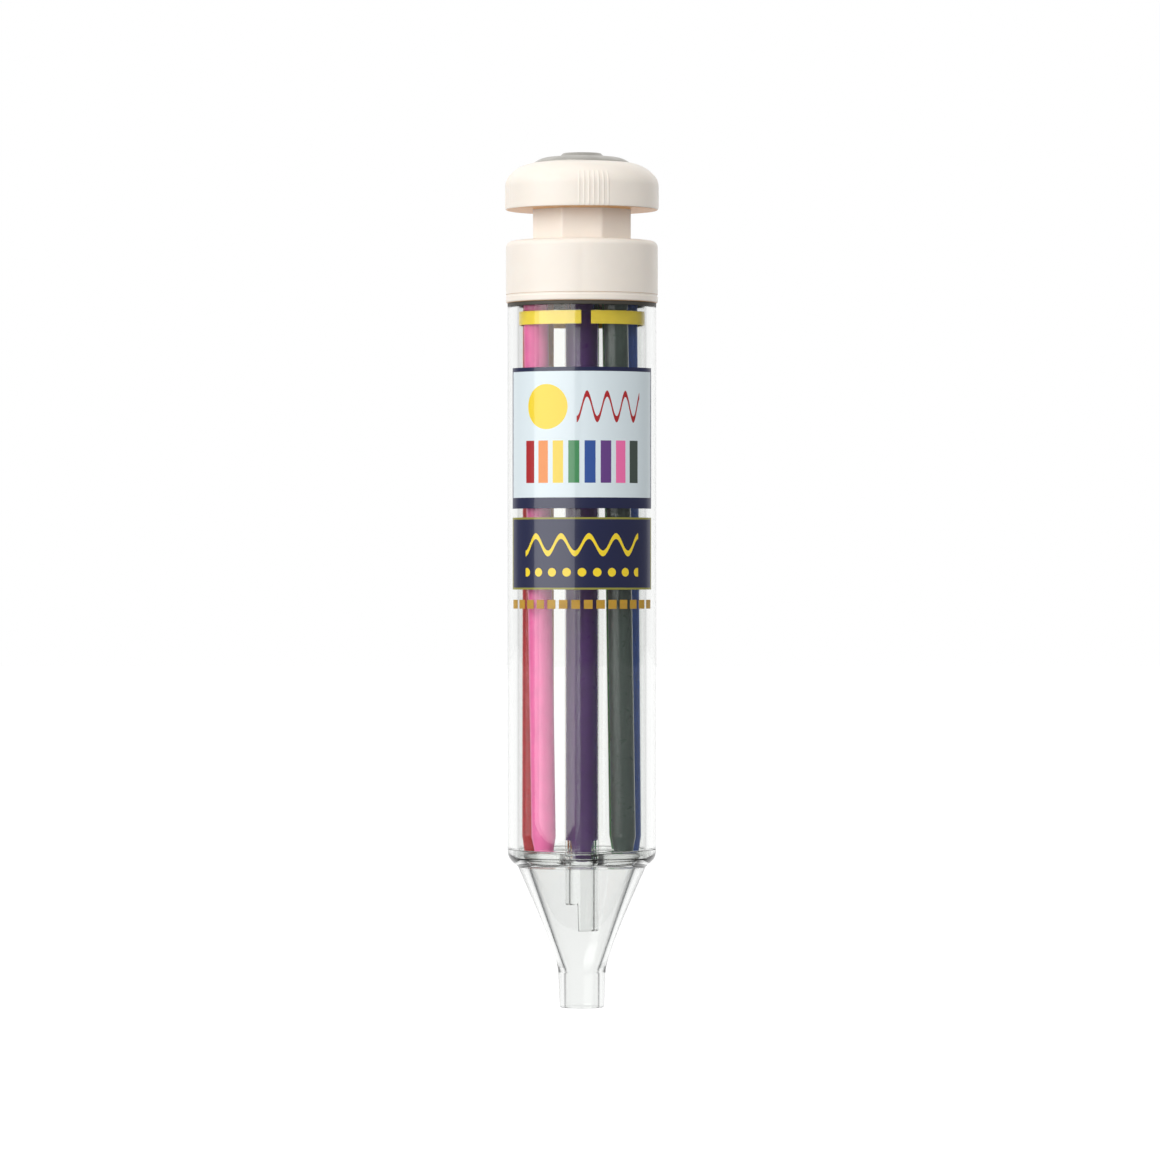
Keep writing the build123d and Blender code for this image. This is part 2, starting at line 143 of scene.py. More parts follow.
CREAM_GRAIN = Grain(0.975, 260.0, 14000.0, 0.36, 0.06, 0.04)
WAX_GRAIN = Grain(0.88, 700.0, 5200.0, 0.3, 0.12, 0.06, 0.03)
HOOP_GRAIN = Grain(0.9, 300.0, 7000.0, 0.25, 0.08, 0.03)
SEAM_GRAIN = Grain(0.9, 500.0, 9000.0, 0.5, 0.1, 0.05)
STEEL_GRAIN = Grain(0.88, 1200.0, 16000.0, 0.28, 0.12, 0.04, 0.01)
BADGE_GRAIN = Grain(0.9, 500.0, 18000.0, 0.4, 0.1, 0.08, 0.01)
DASH_GRAIN = Grain(0.85, 900.0, 9000.0, 0.3, 0.1, 0.02)

# Share of the fine grain beside the clouds, the range in which the two go from colour to shade, and the
# detail of their noise
GRAIN_SHARE = 0.35
GRAIN_RANGE = (0.38, 0.62)
CLOUD_DETAIL = 4.0
GRAIN_DETAIL = 2.0

# Plain inputs of the shaders: light inside the cream, sheen of the wax, gloss of the print, and metals
CREAM_GLOW = {"Subsurface_Weight": 0.08, "Subsurface_Radius": (1.0, 0.7, 0.5), "Subsurface_Scale": 0.5 * MM}
WAX_SHEEN = {"Coat_Weight": 0.35, "Coat_Roughness": 0.12}
PRINT_GLOSS = {"Roughness": 0.3, "Coat_Weight": 0.8, "Coat_Roughness": 0.03}
BADGE_METAL = 0.35
STEEL_METAL = 1.0

# Clear plastic: its refraction and gloss, how painted shade greys its edges, and the range of the funnel's
# painted dark line
CLEAR_IOR = 1.49
CLEAR_ROUGHNESS = 0.012
EDGE_SHADE_BLEND = 0.12
EDGE_SHADE_POWER = 2.5
FUNNEL_SHADE_BLEND = 0.5
FUNNEL_SHADE_RANGE = (0.5, 0.76)

# Upward parts of a normal between which cream goes to the painted warm shade of faces that look down
UNDER_SHADE_RANGE = (-0.5, -0.95)

# Depth parts of a mirrored ray between which the surroundings go from dark in front to light behind
MIRROR_RANGE = (0.45, 0.75)

# The floor's soft clouds, by scale and detail, how far they darken its colour, and its roughness
FLOOR_CLOUDS = (3.0, 3.0)
FLOOR_SHADE = 0.98
FLOOR_ROUGHNESS = 0.9


class Wave(NamedTuple):
    """A printed wave: its level and swing as shares of the panel's height, half its length and half its line
    in millimetres, and its middle and reach along the arc as shares of half the panel's width."""

    level: float
    swing: float
    pitch: float
    half_line: float
    middle: float
    reach: float


RED_WAVE = Wave(0.72, 0.09, 1.6, 0.5, 0.34, 0.40)
YELLOW_WAVE = Wave(0.62, 0.12, 2.2, 0.45, 0.0, 0.72)

# Other printed marks, as shares of half the panel's width, of its height and of a bar's or dash's room, with
# the dots' pitch in millimetres
SPOT_PLACE = -0.42
SPOT_LEVEL = 0.72
SPOT_RADIUS = 0.16
BAR_COLOURS = ("red", "orange", "yellow", "green", "blue", "purple", "pink", "black")
BAR_ROW = 0.74
BAR_LEVEL = 0.33
BAR_HALF_HEIGHT = 0.15
BAR_HALF_WIDTH = 0.34
DOT_PITCH = 2.4
DOT_LEVEL = 0.24
DOT_RADIUS = 0.06
DASH_SPACE = 0.3

BARREL_LOW, BARREL_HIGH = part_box("barrel_tube")
COLLAR_LOW, COLLAR_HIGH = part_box("collar")
KNOB_LOW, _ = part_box("knob_cap")
BADGE_LOW, BADGE_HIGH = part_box("knob_badge")
STEM_LOW, STEM_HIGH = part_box("knob_stem")
DISC_LOW, DISC_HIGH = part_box("rest_disc")
SPINDLE_LOW, SPINDLE_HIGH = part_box("spindle")
HOOP_LOW, HOOP_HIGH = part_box("yellow_ring")
SEAM_LOW, SEAM_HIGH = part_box("seam_ring")
_, NOSE_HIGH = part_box("nose_cone")
PURPLE_LOW, PURPLE_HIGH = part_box("crayon_purple")
SPRING_LOW, SPRING_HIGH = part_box("return_spring")


def display(red, green, blue):
    """The linear colour that a shader uses for display values from 0 to 255."""
    shown = np.array([red, green, blue]) / 255
    linear = np.where(shown <= 0.04045, shown / 12.92, ((shown + 0.055) / 1.055) ** 2.4)
    return tuple(float(value) for value in linear)


def size(name, description, default):
    """A length property in metres, given in millimetres."""
    return FloatProperty(name=name, description=description, default=default * MM, unit="LENGTH", precision=5)


def turn(name, description, degrees):
    """An angle property, given in degrees."""
    return FloatProperty(name=name, description=description, default=math.radians(degrees), subtype="ANGLE")


def share(name, description, default):
    """A plain factor property."""
    return FloatProperty(name=name, description=description, default=default, min=0.0)


def tint(name, description, *shown):
    """A colour property, given in display values."""
    return FloatVectorProperty(
        name=name, description=description, default=display(*shown), subtype="COLOR", size=3, min=0.0, max=1.0
    )


class CrayonSizes(bpy.types.PropertyGroup):
    """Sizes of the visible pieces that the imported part's boxes don't give."""

    around: IntProperty(name="Steps Round", description="Faces round a turned piece", default=192, min=24)
    barrel_wall: size("Barrel Wall", "Thickness of the clear tube", 1.75)
    joint_lip: size("Joint Lip", "Depth of the step at each end of the tube", 0.9)
    joint_height: size("Joint Height", "Height of the nose's rim round the tube", 1.1)
    soft_edge: size("Soft Edge", "Rounding of moulded edges", 0.16)
    nozzle_bore: size("Nozzle Bore", "Radius of the nozzle's bore", 2.6)
    nozzle_radius: size("Nozzle Radius", "Outer radius of the nozzle's mouth", 3.5)
    nozzle_root: size("Nozzle Root", "Outer radius of the nozzle at its root", 3.75)
    nozzle_height: size("Nozzle Height", "Height of the straight nozzle", 5.5)
    flare_radius: size("Flare Radius", "Outer radius at the top of the flare", 10.1)
    flare_top: size("Flare Top", "Height of the flare's top", 22.2)
    funnel_radius: size("Funnel Radius", "Inner radius at the top of the funnel", 8.7)
    # The skin of the funnel's wall takes the painted dark line
    funnel_skin: size("Funnel Skin", "Depth of the funnel's wall that greys", 0.15)
    ledge_drop: size("Ledge Drop", "How far the funnel's ledge lies under the disc", 0.1)
    fit_gap: size("Fit Gap", "Gap between pieces that slide into each other", 0.05)
    close_gap: size("Close Gap", "Gap round a badge, a stem's seat and a printed panel", 0.02)
    disc_gap: size("Disc Gap", "Gap round the disc", 0.2)
    spindle_bore: size("Spindle Bore", "Radius of the spindle's channel", 1.85)
    spindle_step: size("Spindle Step", "Height of the step at the spindle's foot", 4.3)
    spindle_step_edge: size("Spindle Step Edge", "How far left of the axis the step begins", 0.6)
    spindle_bevel: share("Spindle Bevel", "Bevel at the spindle's foot as a share of its wall", 0.25)
    hoop_radial: size("Hoop Thickness", "Thickness of the yellow ring", 0.27)
    hoop_split: size("Hoop Split", "Width of the yellow ring's split", 1.5)
    hoop_turn: turn("Hoop Turn", "Turn of the yellow ring's split from the front", 3.7)
    circle_radius: size("Crayon Circle", "Radius of the circle of waiting crayons", 7.8)
    crayon_tip: size("Crayon Tip", "Radius of a crayon's blunt tip", 1.35)
    crayon_taper: size("Crayon Taper", "Length of a crayon's tapered tip", 2.4)
    wax_press: size("Wax Press", "How far the selected crayon presses on its channel's wall", 0.01)
    collar_edge: size("Collar Edge", "Rounding of the collar's top edge", 1.6)
    collar_bore: size("Collar Bore", "Radius of the collar's wide bore", 11.0)
    collar_neck: size("Collar Neck", "Radius of the collar's narrow bore", 10.05)
    collar_step: size("Collar Step", "Height of the step in the collar's bore", 5.25)
    groove_rise: size("Groove Rise", "Height of the collar's groove above its foot", 1.0)
    groove_height: size("Groove Height", "Height of the collar's groove", 0.35)
    groove_depth: size("Groove Depth", "Depth of the collar's groove", 0.1)
    stem_flats: size("Stem Flats", "Width of the stem across its flats", 15.4)
    stem_bore: size("Stem Bore", "Radius of the hollow in the stem", 5.6)
    stem_ceiling: size("Stem Ceiling", "Thickness of the stem's top", 2.4)
    stem_edge: size("Stem Edge", "Rounding of the stem's upright edges", 0.7)
    stem_seat: size("Stem Seat", "Depth of the stem's seat in the knob", 1.5)
    knob_radius: size("Knob Radius", "Radius of the knob between its ribs", 12.05)
    shoulder_width: size("Shoulder Width", "Width of the knob's rounded shoulder", 5.4)
    shoulder_height: size("Shoulder Height", "Height of the knob's rounded shoulder", 3.8)
    knob_lower_edge: size("Knob Lower Edge", "Rounding of the knob's lower edge", 0.25)
    rib_pitch: turn("Rib Pitch", "Turn from one rib to the next", 3.7)
    rib_turn: turn("Rib Turn", "Turn of the front patch of ribs", 9.0)
    rib_radius: size("Rib Radius", "Radius of a rib's round back", 0.28)
    rib_proud: size("Rib Proud", "How far a rib stands out", 0.07)
    rib_height: size("Rib Height", "Height of the ribs", 5.4)
    badge_sink: size("Badge Sink", "Depth of the badge's seat in the knob", 0.8)
    badge_edge: size("Badge Edge", "Height of the badge's straight edge", 0.05)
    badge_dome: size("Badge Dome", "Rise of the badge's dome", 0.85)
    badge_rounding: size("Badge Rounding", "Reach of the badge's dome curve", 2.0)
    badge_boss: size("Badge Boss", "Radius of the raised middle of the badge", 3.6)
    badge_boss_rise: size("Badge Boss Rise", "Height of the raised middle of the badge", 0.6)
    spring_wire: size("Spring Wire", "Radius of the return spring's wire", 0.4)
    press_travel: size("Press Travel", "How far the knob goes down", 4.5)
    print_film: size("Print Film", "Thickness of a printed panel", 0.06)
    print_arc: turn("Print Arc", "Half the arc that the printed panels cover", 67.0)
    print_line: size("Print Line", "Width of the fine printed lines", 0.3)
    panel_head: size("Panel Head", "Height of the dark line along the pale panel's top", 0.65)
    panel_base: size("Panel Base", "Height of the dark foot of the pale panel", 1.7)
    panel_foot: size("Panel Foot", "Height of the pale panel's lower edge", 78.7)
    panel_top: size("Panel Top", "Height of the pale panel's upper edge", 100.8)
    band_foot: size("Band Foot", "Height of the dark band's lower edge", 66.0)
    band_top: size("Band Top", "Height of the dark band's upper edge", 77.3)
    dash_foot: size("Dash Foot", "Height of the row of dashes' lower edge", 63.0)
    dash_top: size("Dash Top", "Height of the row of dashes' upper edge", 64.4)


class CrayonColours(bpy.types.PropertyGroup):
    """Colours of the finishes."""

    clear: tint("Clear", "Clear plastic", 250, 251, 250)
    # Painted shade: clear plastic greys to this where the eye grazes it
    edge: tint("Clear Edge", "Clear plastic where the eye grazes it", 205, 210, 208)
    # Painted shade: the dark line on the funnel's wall where the eye grazes it
    funnel: tint("Funnel Edge", "Funnel's wall where the eye grazes it", 24, 28, 30)
    cream: tint("Cream", "Cream moulded plastic", 248, 239, 228)
    # Painted warm shade on cream faces that look down, as under the knob
    painted_under_shade: tint("Underside", "Cream plastic on faces that look down", 230, 168, 92)
    hoop: tint("Ring Yellow", "Yellow ring", 255, 226, 70)
    # Painted shade: the dark seam ring stands in for the shadow line under the collar
    seam: tint("Seam", "Dark seam ring", 74, 70, 62)
    steel: tint("Steel", "Steel wire and strip", 168, 170, 172)
    badge: tint("Badge", "Grey badge", 196, 193, 186)
    navy: tint("Navy", "Dark print", 27, 32, 68)
    pale: tint("Pale", "Pale print", 226, 238, 243)
    olive: tint("Olive", "Olive print", 150, 146, 60)
    amber: tint("Amber", "Amber print", 196, 152, 52)
    signal: tint("Signal Yellow", "Yellow print", 250, 218, 40)
    purple: tint("Purple Wax", "Purple crayon", 104, 62, 134)
    black: tint("Black Wax", "Black crayon", 66, 78, 72)
    blue: tint("Blue Wax", "Blue crayon", 48, 84, 158)
    green: tint("Green Wax", "Green crayon", 60, 140, 84)
    yellow: tint("Yellow Wax", "Yellow crayon", 246, 214, 62)
    orange: tint("Orange Wax", "Orange crayon", 240, 140, 52)
    red: tint("Red Wax", "Red crayon", 178, 30, 36)
    pink: tint("Pink Wax", "Pink crayon", 250, 115, 177)
    floor: tint("Floor", "Pale floor", 112, 112, 112)


class CrayonStage(bpy.types.PropertyGroup):
    """Camera and light."""

    camera_side: size("Camera Side", "Camera's place left or right of the axis", -0.3)
    camera_distance: size("Camera Distance", "Camera's distance in front of the axis", 950.0)
    camera_height: size("Camera Height", "Camera's height above the nozzle's mouth", 67.5)
    frame_width: size("Frame Width", "Width of the picture at the axis", 183.3)
    floor_drop: size("Floor Drop", "Depth of the floor under the nozzle's mouth", 4.0)
    floor_half: size("Floor Half", "Half the width of the floor", 4000.0)
    floor_glow: share("Floor Glow", "Light that the floor sends to the camera by itself", 0.93)
    key_near: turn("Key Near Edge", "Angle from the camera to the softbox's near edge", 11.0)
    key_far: turn("Key Far Edge", "Angle from the camera to the softbox's far edge", 78.0)
    key_distance: size("Key Distance", "Distance of the softbox", 700.0)
    key_height: size("Key Height", "Height of the softbox", 900.0)
    key_rise: size("Key Rise", "Height of the softbox's middle above the nozzle's mouth", 160.0)
    key_level: share("Key Level", "Brightness of the softbox", 2.1)
    world_light: share("World Light", "Brightness of the surroundings on matt surfaces", 0.86)
    world_behind: share("World Behind", "Brightness behind the crayon in mirror turns", 1.0)
    world_before: share("World Before", "Brightness on the camera's side in mirror turns", 0.12)


def settings():
    """The sizes, colours and stage values of this scene."""
    scene = bpy.context.scene
    return scene.crayon_sizes, scene.crayon_colours, scene.crayon_stage


def grid_faces(rows, columns, close_rows, close_columns):
    """Quads between neighbouring points of a grid, wrapped round where a direction is closed."""
    row = np.arange(rows if close_rows else rows - 1)
    column = np.arange(columns if close_columns else columns - 1)
    i, j = np.meshgrid(row, column, indexing="ij")
    next_i = (i + 1) % rows
    next_j = (j + 1) % columns
    corners = [i * columns + j, i * columns + next_j, next_i * columns + next_j, next_i * columns + j]
    return np.stack(corners, -1).reshape(-1, 4)


def grid_piece(name, points, material, close_rows=False, close_columns=False):
    """A mesh from one grid of points or several, with poles merged, faces outwards and sharp edges kept."""
    rows, columns, _ = points.shape[-3:]
    mesh = bpy.data.meshes.new(name)
    points = points.reshape(-1, 3)
    first = np.arange(0, len(points), rows * columns)[:, None, None]
    faces = (first + grid_faces(rows, columns, close_rows, close_columns)).reshape(-1, 4)
    mesh.from_pydata(points.tolist(), [], faces.tolist())
    work = bmesh.new()
    work.from_mesh(mesh)
    bmesh.ops.remove_doubles(work, verts=work.verts, dist=MERGE_DISTANCE)
    bmesh.ops.recalc_face_normals(work, faces=work.faces)
    work.to_mesh(mesh)
    work.free()
    mesh.shade_smooth()
    mesh.set_sharp_from_angle(angle=SHARP_ANGLE)
    mesh.materials.append(material)
    piece = bpy.data.objects.new(name, mesh)
    bpy.context.scene.collection.objects.link(piece)
    return piece


def around(steps):
    """Evenly spaced turns about the axis, without the last."""
    return np.linspace(0, FULL_TURN, steps, endpoint=False)


def lathe(profile, turns):
    """A profile of (radius, height) turned about the axis: x = r sin t, y = -r cos t, z = height."""
    radius = profile[:, 0, None]
    height = np.broadcast_to(profile[:, 1, None], (len(profile), len(turns)))
    return np.stack([radius * np.sin(turns), -radius * np.cos(turns), height], -1)


def rounded(corners, steps=CORNER_STEPS, closed=True):
    """An outline whose corners (x, y, rounding) are replaced by arcs that touch both their sides."""
    corners = np.array(corners, float)
    place = corners[:, :2]
    back = np.roll(place, 1, 0) - place
    ahead = np.roll(place, -1, 0) - place
    back_length = np.linalg.norm(back, axis=1, keepdims=True)
    ahead_length = np.linalg.norm(ahead, axis=1, keepdims=True)
    back = back / back_length
    ahead = ahead / ahead_length
    half = np.arccos(np.clip((back * ahead).sum(1), -1, 1)) / 2
    room = SIDE_SHARE * np.minimum(back_length, ahead_length)[:, 0]
    reach = np.minimum(corners[:, 2] / np.tan(half), room)
    radius = reach * np.tan(half)
    middle = back + ahead
    middle = middle / np.maximum(np.linalg.norm(middle, axis=1, keepdims=True), TINY)
    centre = place + middle * (radius / np.sin(half))[:, None]
    first = place + back * reach[:, None] - centre
    last = place + ahead * reach[:, None] - centre
    sweep = np.pi - 2 * half
    step = np.linspace(0, 1, steps)
    spread = np.maximum(np.sin(sweep), TINY)[:, None]
    weight_first = np.sin((1 - step) * sweep[:, None]) / spread
    weight_last = np.sin(step * sweep[:, None]) / spread
    arcs = centre[:, None] + weight_first[..., None] * first[:, None] + weight_last[..., None] * last[:, None]
    round_corner = radius > LEAST_ROUNDING
    outline = [arc if curved else point[None] for arc, curved, point in zip(arcs, round_corner, place)]
    return held(np.concatenate(outline), closed)


def held(outline, closed):
    """An outline with two more points near the ends of each long side, which keep its shading straight."""
    ahead = np.roll(outline, -1, 0) - outline
    length = np.maximum(np.linalg.norm(ahead, axis=1, keepdims=True), TINY)
    near = outline + ahead / length * HOLD
    far = outline + ahead * (1 - HOLD / length)
    long_side = length[:, 0] > LONG_SIDE
    long_side[-1] &= closed
    kept = np.stack([np.full_like(long_side, True), long_side, long_side], 1)
    return np.stack([outline, near, far], 1)[kept]


def bezier(start, first, second, end):
    """Points on a cubic curve between two ends with two handles."""
    t = np.linspace(0, 1, CURVE_STEPS)[:, None]
    blend = ((1 - t) ** 3, 3 * (1 - t) ** 2 * t, 3 * (1 - t) * t ** 2, t ** 3)
    return sum(weight * np.array(point) for weight, point in zip(blend, (start, first, second, end)))


def swept(start, end, handles):
    """A cubic curve between two points, with its handles at shares of the way out and of the rise."""
    start = np.array(start)
    end = np.array(end)
    first, second = start + np.array(handles) * (end - start)
    return bezier(start, first, second, end)


def plain(points):
    """Points of a curve as corners without rounding."""
    return [(x, y, 0.0) for x, y in points]


def turned(name, corners, finish, steps=CORNER_STEPS, closed=True):
    """A piece whose outline of corners (radius, height, rounding) is turned about the axis."""
    sizes, _, _ = settings()
    points = lathe(rounded(corners, steps, closed), around(sizes.around))
    return grid_piece(name, points, finish, close_rows=closed, close_columns=True)


def flat_ring(inner, outer, low, high, soft):
    """Corners of a flat ring with soft outer edges."""
    return [(outer, low, soft), (outer, high, soft), (inner, high, 0), (inner, low, 0)]


def stacked(rows):
    """A grid from rows of (outline, height), with one height for the row or one for each of its points."""
    return np.stack([np.column_stack([line, np.broadcast_to(height, len(line))]) for line, height in rows])


def capped(rows):
    """A grid of rows with its two ends closed, each to its middle."""
    first = np.broadcast_to(rows[0].mean(0), rows[:1].shape)
    last = np.broadcast_to(rows[-1].mean(0), rows[:1].shape)
    return np.concatenate([first, rows, last])


def arc_band(inner, outer, low, high, first_turn, last_turn, steps):
    """A band of rectangular section carried along an arc, with its two ends closed."""
    section = np.array([(outer, low), (outer, high), (inner, high), (inner, low)])
    return capped(lathe(section, np.linspace(first_turn, last_turn, steps)).swapaxes(0, 1))


def dress(name, finish):
    """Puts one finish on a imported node."""
    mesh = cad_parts[name].data
    mesh.materials.clear()
    mesh.materials.append(finish)


def ride(piece, body, slot, *nodes):
    """Puts a finished piece on its body and hides the nodes that it stands for; the slot is not used."""
    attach(piece, body)
    if nodes:
        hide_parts(*nodes)
    return piece


def connect(tree, socket, value):
    """Links a socket to another, or sets it to a plain value."""
    if isinstance(value, bpy.types.NodeSocket):
        tree.links.new(value, socket)
    else:
        socket.default_value = value


def fill(tree, made, **inputs):
    """Sets or links some of a node's inputs by name."""
    for name, value in inputs.items():
        connect(tree, made.inputs[name.replace("_", " ")], value)


def node(tree, kind, **inputs):
    """A new shader node with some of its inputs set or linked by name."""
    made = tree.nodes.new(kind)
    fill(tree, made, **inputs)
    return made


def math_node(tree, operation, *values):
    """The result of a sum on values and sockets."""
    made = tree.nodes.new("ShaderNodeMath")
    made.operation = operation
    for socket, value in zip(made.inputs, values):
        connect(tree, socket, value)
    return made.outputs[0]


def vector_node(tree, operation, vector):
    """The results of a sum on one vector, by name."""
    made = tree.nodes.new("ShaderNodeVectorMath")
    made.operation = operation
    tree.links.new(vector, made.inputs[0])
    return made.outputs


def map_range(tree, value, low, high, to_low=0.0, to_high=1.0):
    """A value taken from one range to another and kept within it."""
    ends = {"From_Min": low, "From_Max": high, "To_Min": to_low, "To_Max": to_high}
    return node(tree, "ShaderNodeMapRange", Value=value, **ends).outputs["Result"]


def noise(tree, place, scale, detail):
    """Soft noise at a place."""
    return node(tree, "ShaderNodeTexNoise", Vector=place, Scale=scale, Detail=detail).outputs["Fac"]


def mix_colour(tree, factor, first, second):
    """A colour between two others."""
    made = tree.nodes.new("ShaderNodeMix")
    made.data_type = "RGBA"
    connect(tree, made.inputs["Factor"], factor)
    connect(tree, made.inputs["A"], first)
    connect(tree, made.inputs["B"], second)
    return made.outputs["Result"]


def opaque(colour):
    """A colour with its alpha."""
    return (*colour, 1.0)


def darker(colour, factor):
    """A colour times a factor, with alpha."""
    return opaque(value * factor for value in colour)


def grain_group():
    """A shared effect: a colour with soft clouds and fine grain, with its roughness and height."""
    name = "moulded_grain"
    if name in bpy.data.node_groups:
        return bpy.data.node_groups[name]
    tree = bpy.data.node_groups.new(name, "ShaderNodeTree")
    sockets = [("INPUT", title, "Color") for title in ("Colour", "Shade")]
    numbers = ("Cloud Scale", "Grain Scale", "Roughness", "Roughness Spread")
    sockets += [("INPUT", title, "Float") for title in numbers]
    sockets += [("OUTPUT", "Colour", "Color")]
    sockets += [("OUTPUT", title, "Float") for title in ("Roughness", "Height")]
    for side, title, kind in sockets:
        tree.interface.new_socket(name=title, in_out=side, socket_type="NodeSocket" + kind)
    enter = tree.nodes.new("NodeGroupInput").outputs
    leave = tree.nodes.new("NodeGroupOutput")
    place = node(tree, "ShaderNodeTexCoord").outputs["Object"]
    cloud = noise(tree, place, enter["Cloud Scale"], CLOUD_DETAIL)
    grain = noise(tree, place, enter["Grain Scale"], GRAIN_DETAIL)
    clouds = math_node(tree, "MULTIPLY", cloud, 1 - GRAIN_SHARE)
    both = math_node(tree, "MULTIPLY_ADD", grain, GRAIN_SHARE, clouds)
    colour = mix_colour(tree, map_range(tree, both, *GRAIN_RANGE), enter["Colour"], enter["Shade"])
    spread = math_node(tree, "MULTIPLY", math_node(tree, "SUBTRACT", both, 0.5), enter["Roughness Spread"])
    roughness = math_node(tree, "MULTIPLY_ADD", spread, 2.0, enter["Roughness"])
    fill(tree, leave, Colour=colour, Roughness=roughness, Height=both)
    return tree


def blank_material(name):
    """An empty material, its tree, its Principled shader and its output."""
    material = bpy.data.materials.new(name)
    material.use_nodes = True
    tree = material.node_tree
    shader = tree.nodes["Principled BSDF"]
    return material, tree, shader, tree.nodes["Material Output"]


def grained(name, colour, grain, under=None, **inputs):
    """A moulded finish: clouded colour, uneven gloss and a fine bump, a painted shade colour on faces that
    look down where one is given, and other inputs of its shader."""
    if name in bpy.data.materials:
        return bpy.data.materials[name]
    material, tree, shader, _ = blank_material(name)
    effect = tree.nodes.new("ShaderNodeGroup")
    effect.node_tree = grain_group()
    fill(tree, effect, Colour=opaque(colour), Shade=darker(colour, grain.shade))
    fill(tree, effect, Cloud_Scale=grain.cloud, Grain_Scale=grain.grain)
    fill(tree, effect, Roughness=grain.roughness, Roughness_Spread=grain.spread)
    shown, roughness, height = effect.outputs
    # Painted shade: faces that look down take the given shade colour
    if under is not None:
        normal = node(tree, "ShaderNodeNewGeometry").outputs["Normal"]
        upward = node(tree, "ShaderNodeSeparateXYZ", Vector=normal).outputs["Z"]
        shown = mix_colour(tree, map_range(tree, upward, *UNDER_SHADE_RANGE), shown, opaque(under))
    rise = node(tree, "ShaderNodeBump", Height=height, Strength=grain.bump, Distance=grain.depth * MM)
    fill(tree, shader, Base_Color=shown, Roughness=roughness, Normal=rise.outputs["Normal"], **inputs)
    return material


def cream_finish():
    """Cream moulded plastic with a satin gloss, and painted warm shade on faces that look down."""
    _, colours, _ = settings()
    return grained("moulded_cream", colours.cream, CREAM_GRAIN, colours.painted_under_shade, **CREAM_GLOW)


def wax_finish(colour):
    """Coloured wax: soft clouds, a waxy sheen and fine drag marks."""
    _, colours, _ = settings()
    return grained("stick_" + colour, getattr(colours, colour), WAX_GRAIN, **WAX_SHEEN)


def funnel_shade_mask(tree, sizes):
    """One on the funnel's wall, where the painted dark line goes: nearer to the axis than its cone from
    throat to ledge, plus a skin.
    """
    place = node(tree, "ShaderNodeTexCoord").outputs["Object"]
    parts = node(tree, "ShaderNodeSeparateXYZ", Vector=place).outputs
    flat = node(tree, "ShaderNodeCombineXYZ", X=parts["X"], Y=parts["Y"]).outputs["Vector"]
    radius = vector_node(tree, "LENGTH", flat)["Value"]
    slope = (sizes.funnel_radius - sizes.nozzle_bore) / (DISC_LOW.z - sizes.ledge_drop - sizes.nozzle_height)
    start = sizes.nozzle_bore - slope * sizes.nozzle_height + sizes.funnel_skin
    limit = math_node(tree, "MULTIPLY_ADD", parts["Z"], slope, start)
    inside = math_node(tree, "LESS_THAN", radius, limit)
    above = math_node(tree, "GREATER_THAN", parts["Z"], sizes.nozzle_height)
    return math_node(tree, "MULTIPLY", inside, above)


def clear_finish(name="polished_clear", funnel=False):
    """Clear polished plastic with painted shade that greys it where the eye grazes it, most in a funnel, and
    that lets lamps through.
    """
    if name in bpy.data.materials:
        return bpy.data.materials[name]
    sizes, colours, _ = settings()
    material, tree, shader, leave = blank_material(name)
    # Painted shade: the clear colour greys where the eye grazes it
    grazing = node(tree, "ShaderNodeLayerWeight", Blend=EDGE_SHADE_BLEND).outputs["Facing"]
    grey = math_node(tree, "POWER", grazing, EDGE_SHADE_POWER)
    colour = mix_colour(tree, grey, opaque(colours.clear), opaque(colours.edge))
    # Painted shade: a dark line on the funnel's wall where the eye grazes it
    if funnel:
        facing = node(tree, "ShaderNodeLayerWeight", Blend=FUNNEL_SHADE_BLEND).outputs["Facing"]
        line = math_node(tree, "MULTIPLY", map_range(tree, facing, *FUNNEL_SHADE_RANGE), funnel_shade_mask(tree, sizes))
        colour = mix_colour(tree, line, colour, opaque(colours.funnel))
    fill(tree, shader, Base_Color=colour, Transmission_Weight=1.0, IOR=CLEAR_IOR, Roughness=CLEAR_ROUGHNESS)
    path = node(tree, "ShaderNodeLightPath")
    open_way = node(tree, "ShaderNodeBsdfTransparent")
    either = node(tree, "ShaderNodeMixShader", Fac=path.outputs["Is Shadow Ray"])
    tree.links.new(shader.outputs["BSDF"], either.inputs[1])
    tree.links.new(open_way.outputs["BSDF"], either.inputs[2])
    tree.links.new(either.outputs["Shader"], leave.inputs["Surface"])
    return material


class CRAYON_OT_barrel(bpy.types.Operator):
    """Adds the clear thick-walled tube."""

    bl_idname = "crayon.barrel"
    bl_label = "Clear Barrel"

    def execute(self, context):
        sizes, _, _ = settings()
        outer = BARREL_HIGH.x
        lip = outer - sizes.joint_lip
        bore = outer - sizes.barrel_wall
        foot = BARREL_LOW.z
        top = BARREL_HIGH.z
        shoulder = foot + sizes.joint_height
        soft = sizes.soft_edge
        corners = [(outer, shoulder, soft), (outer, SEAM_LOW.z, 0), (lip, SEAM_LOW.z, 0), (lip, top, 0)]
        corners += [(bore, top, 0), (bore, foot, soft), (lip, foot, 0), (lip, shoulder, 0)]
        piece = turned("clear_barrel", corners, clear_finish())
        ride(piece, "barrel", "clear_plastic", "barrel_tube")
        return {"FINISHED"}


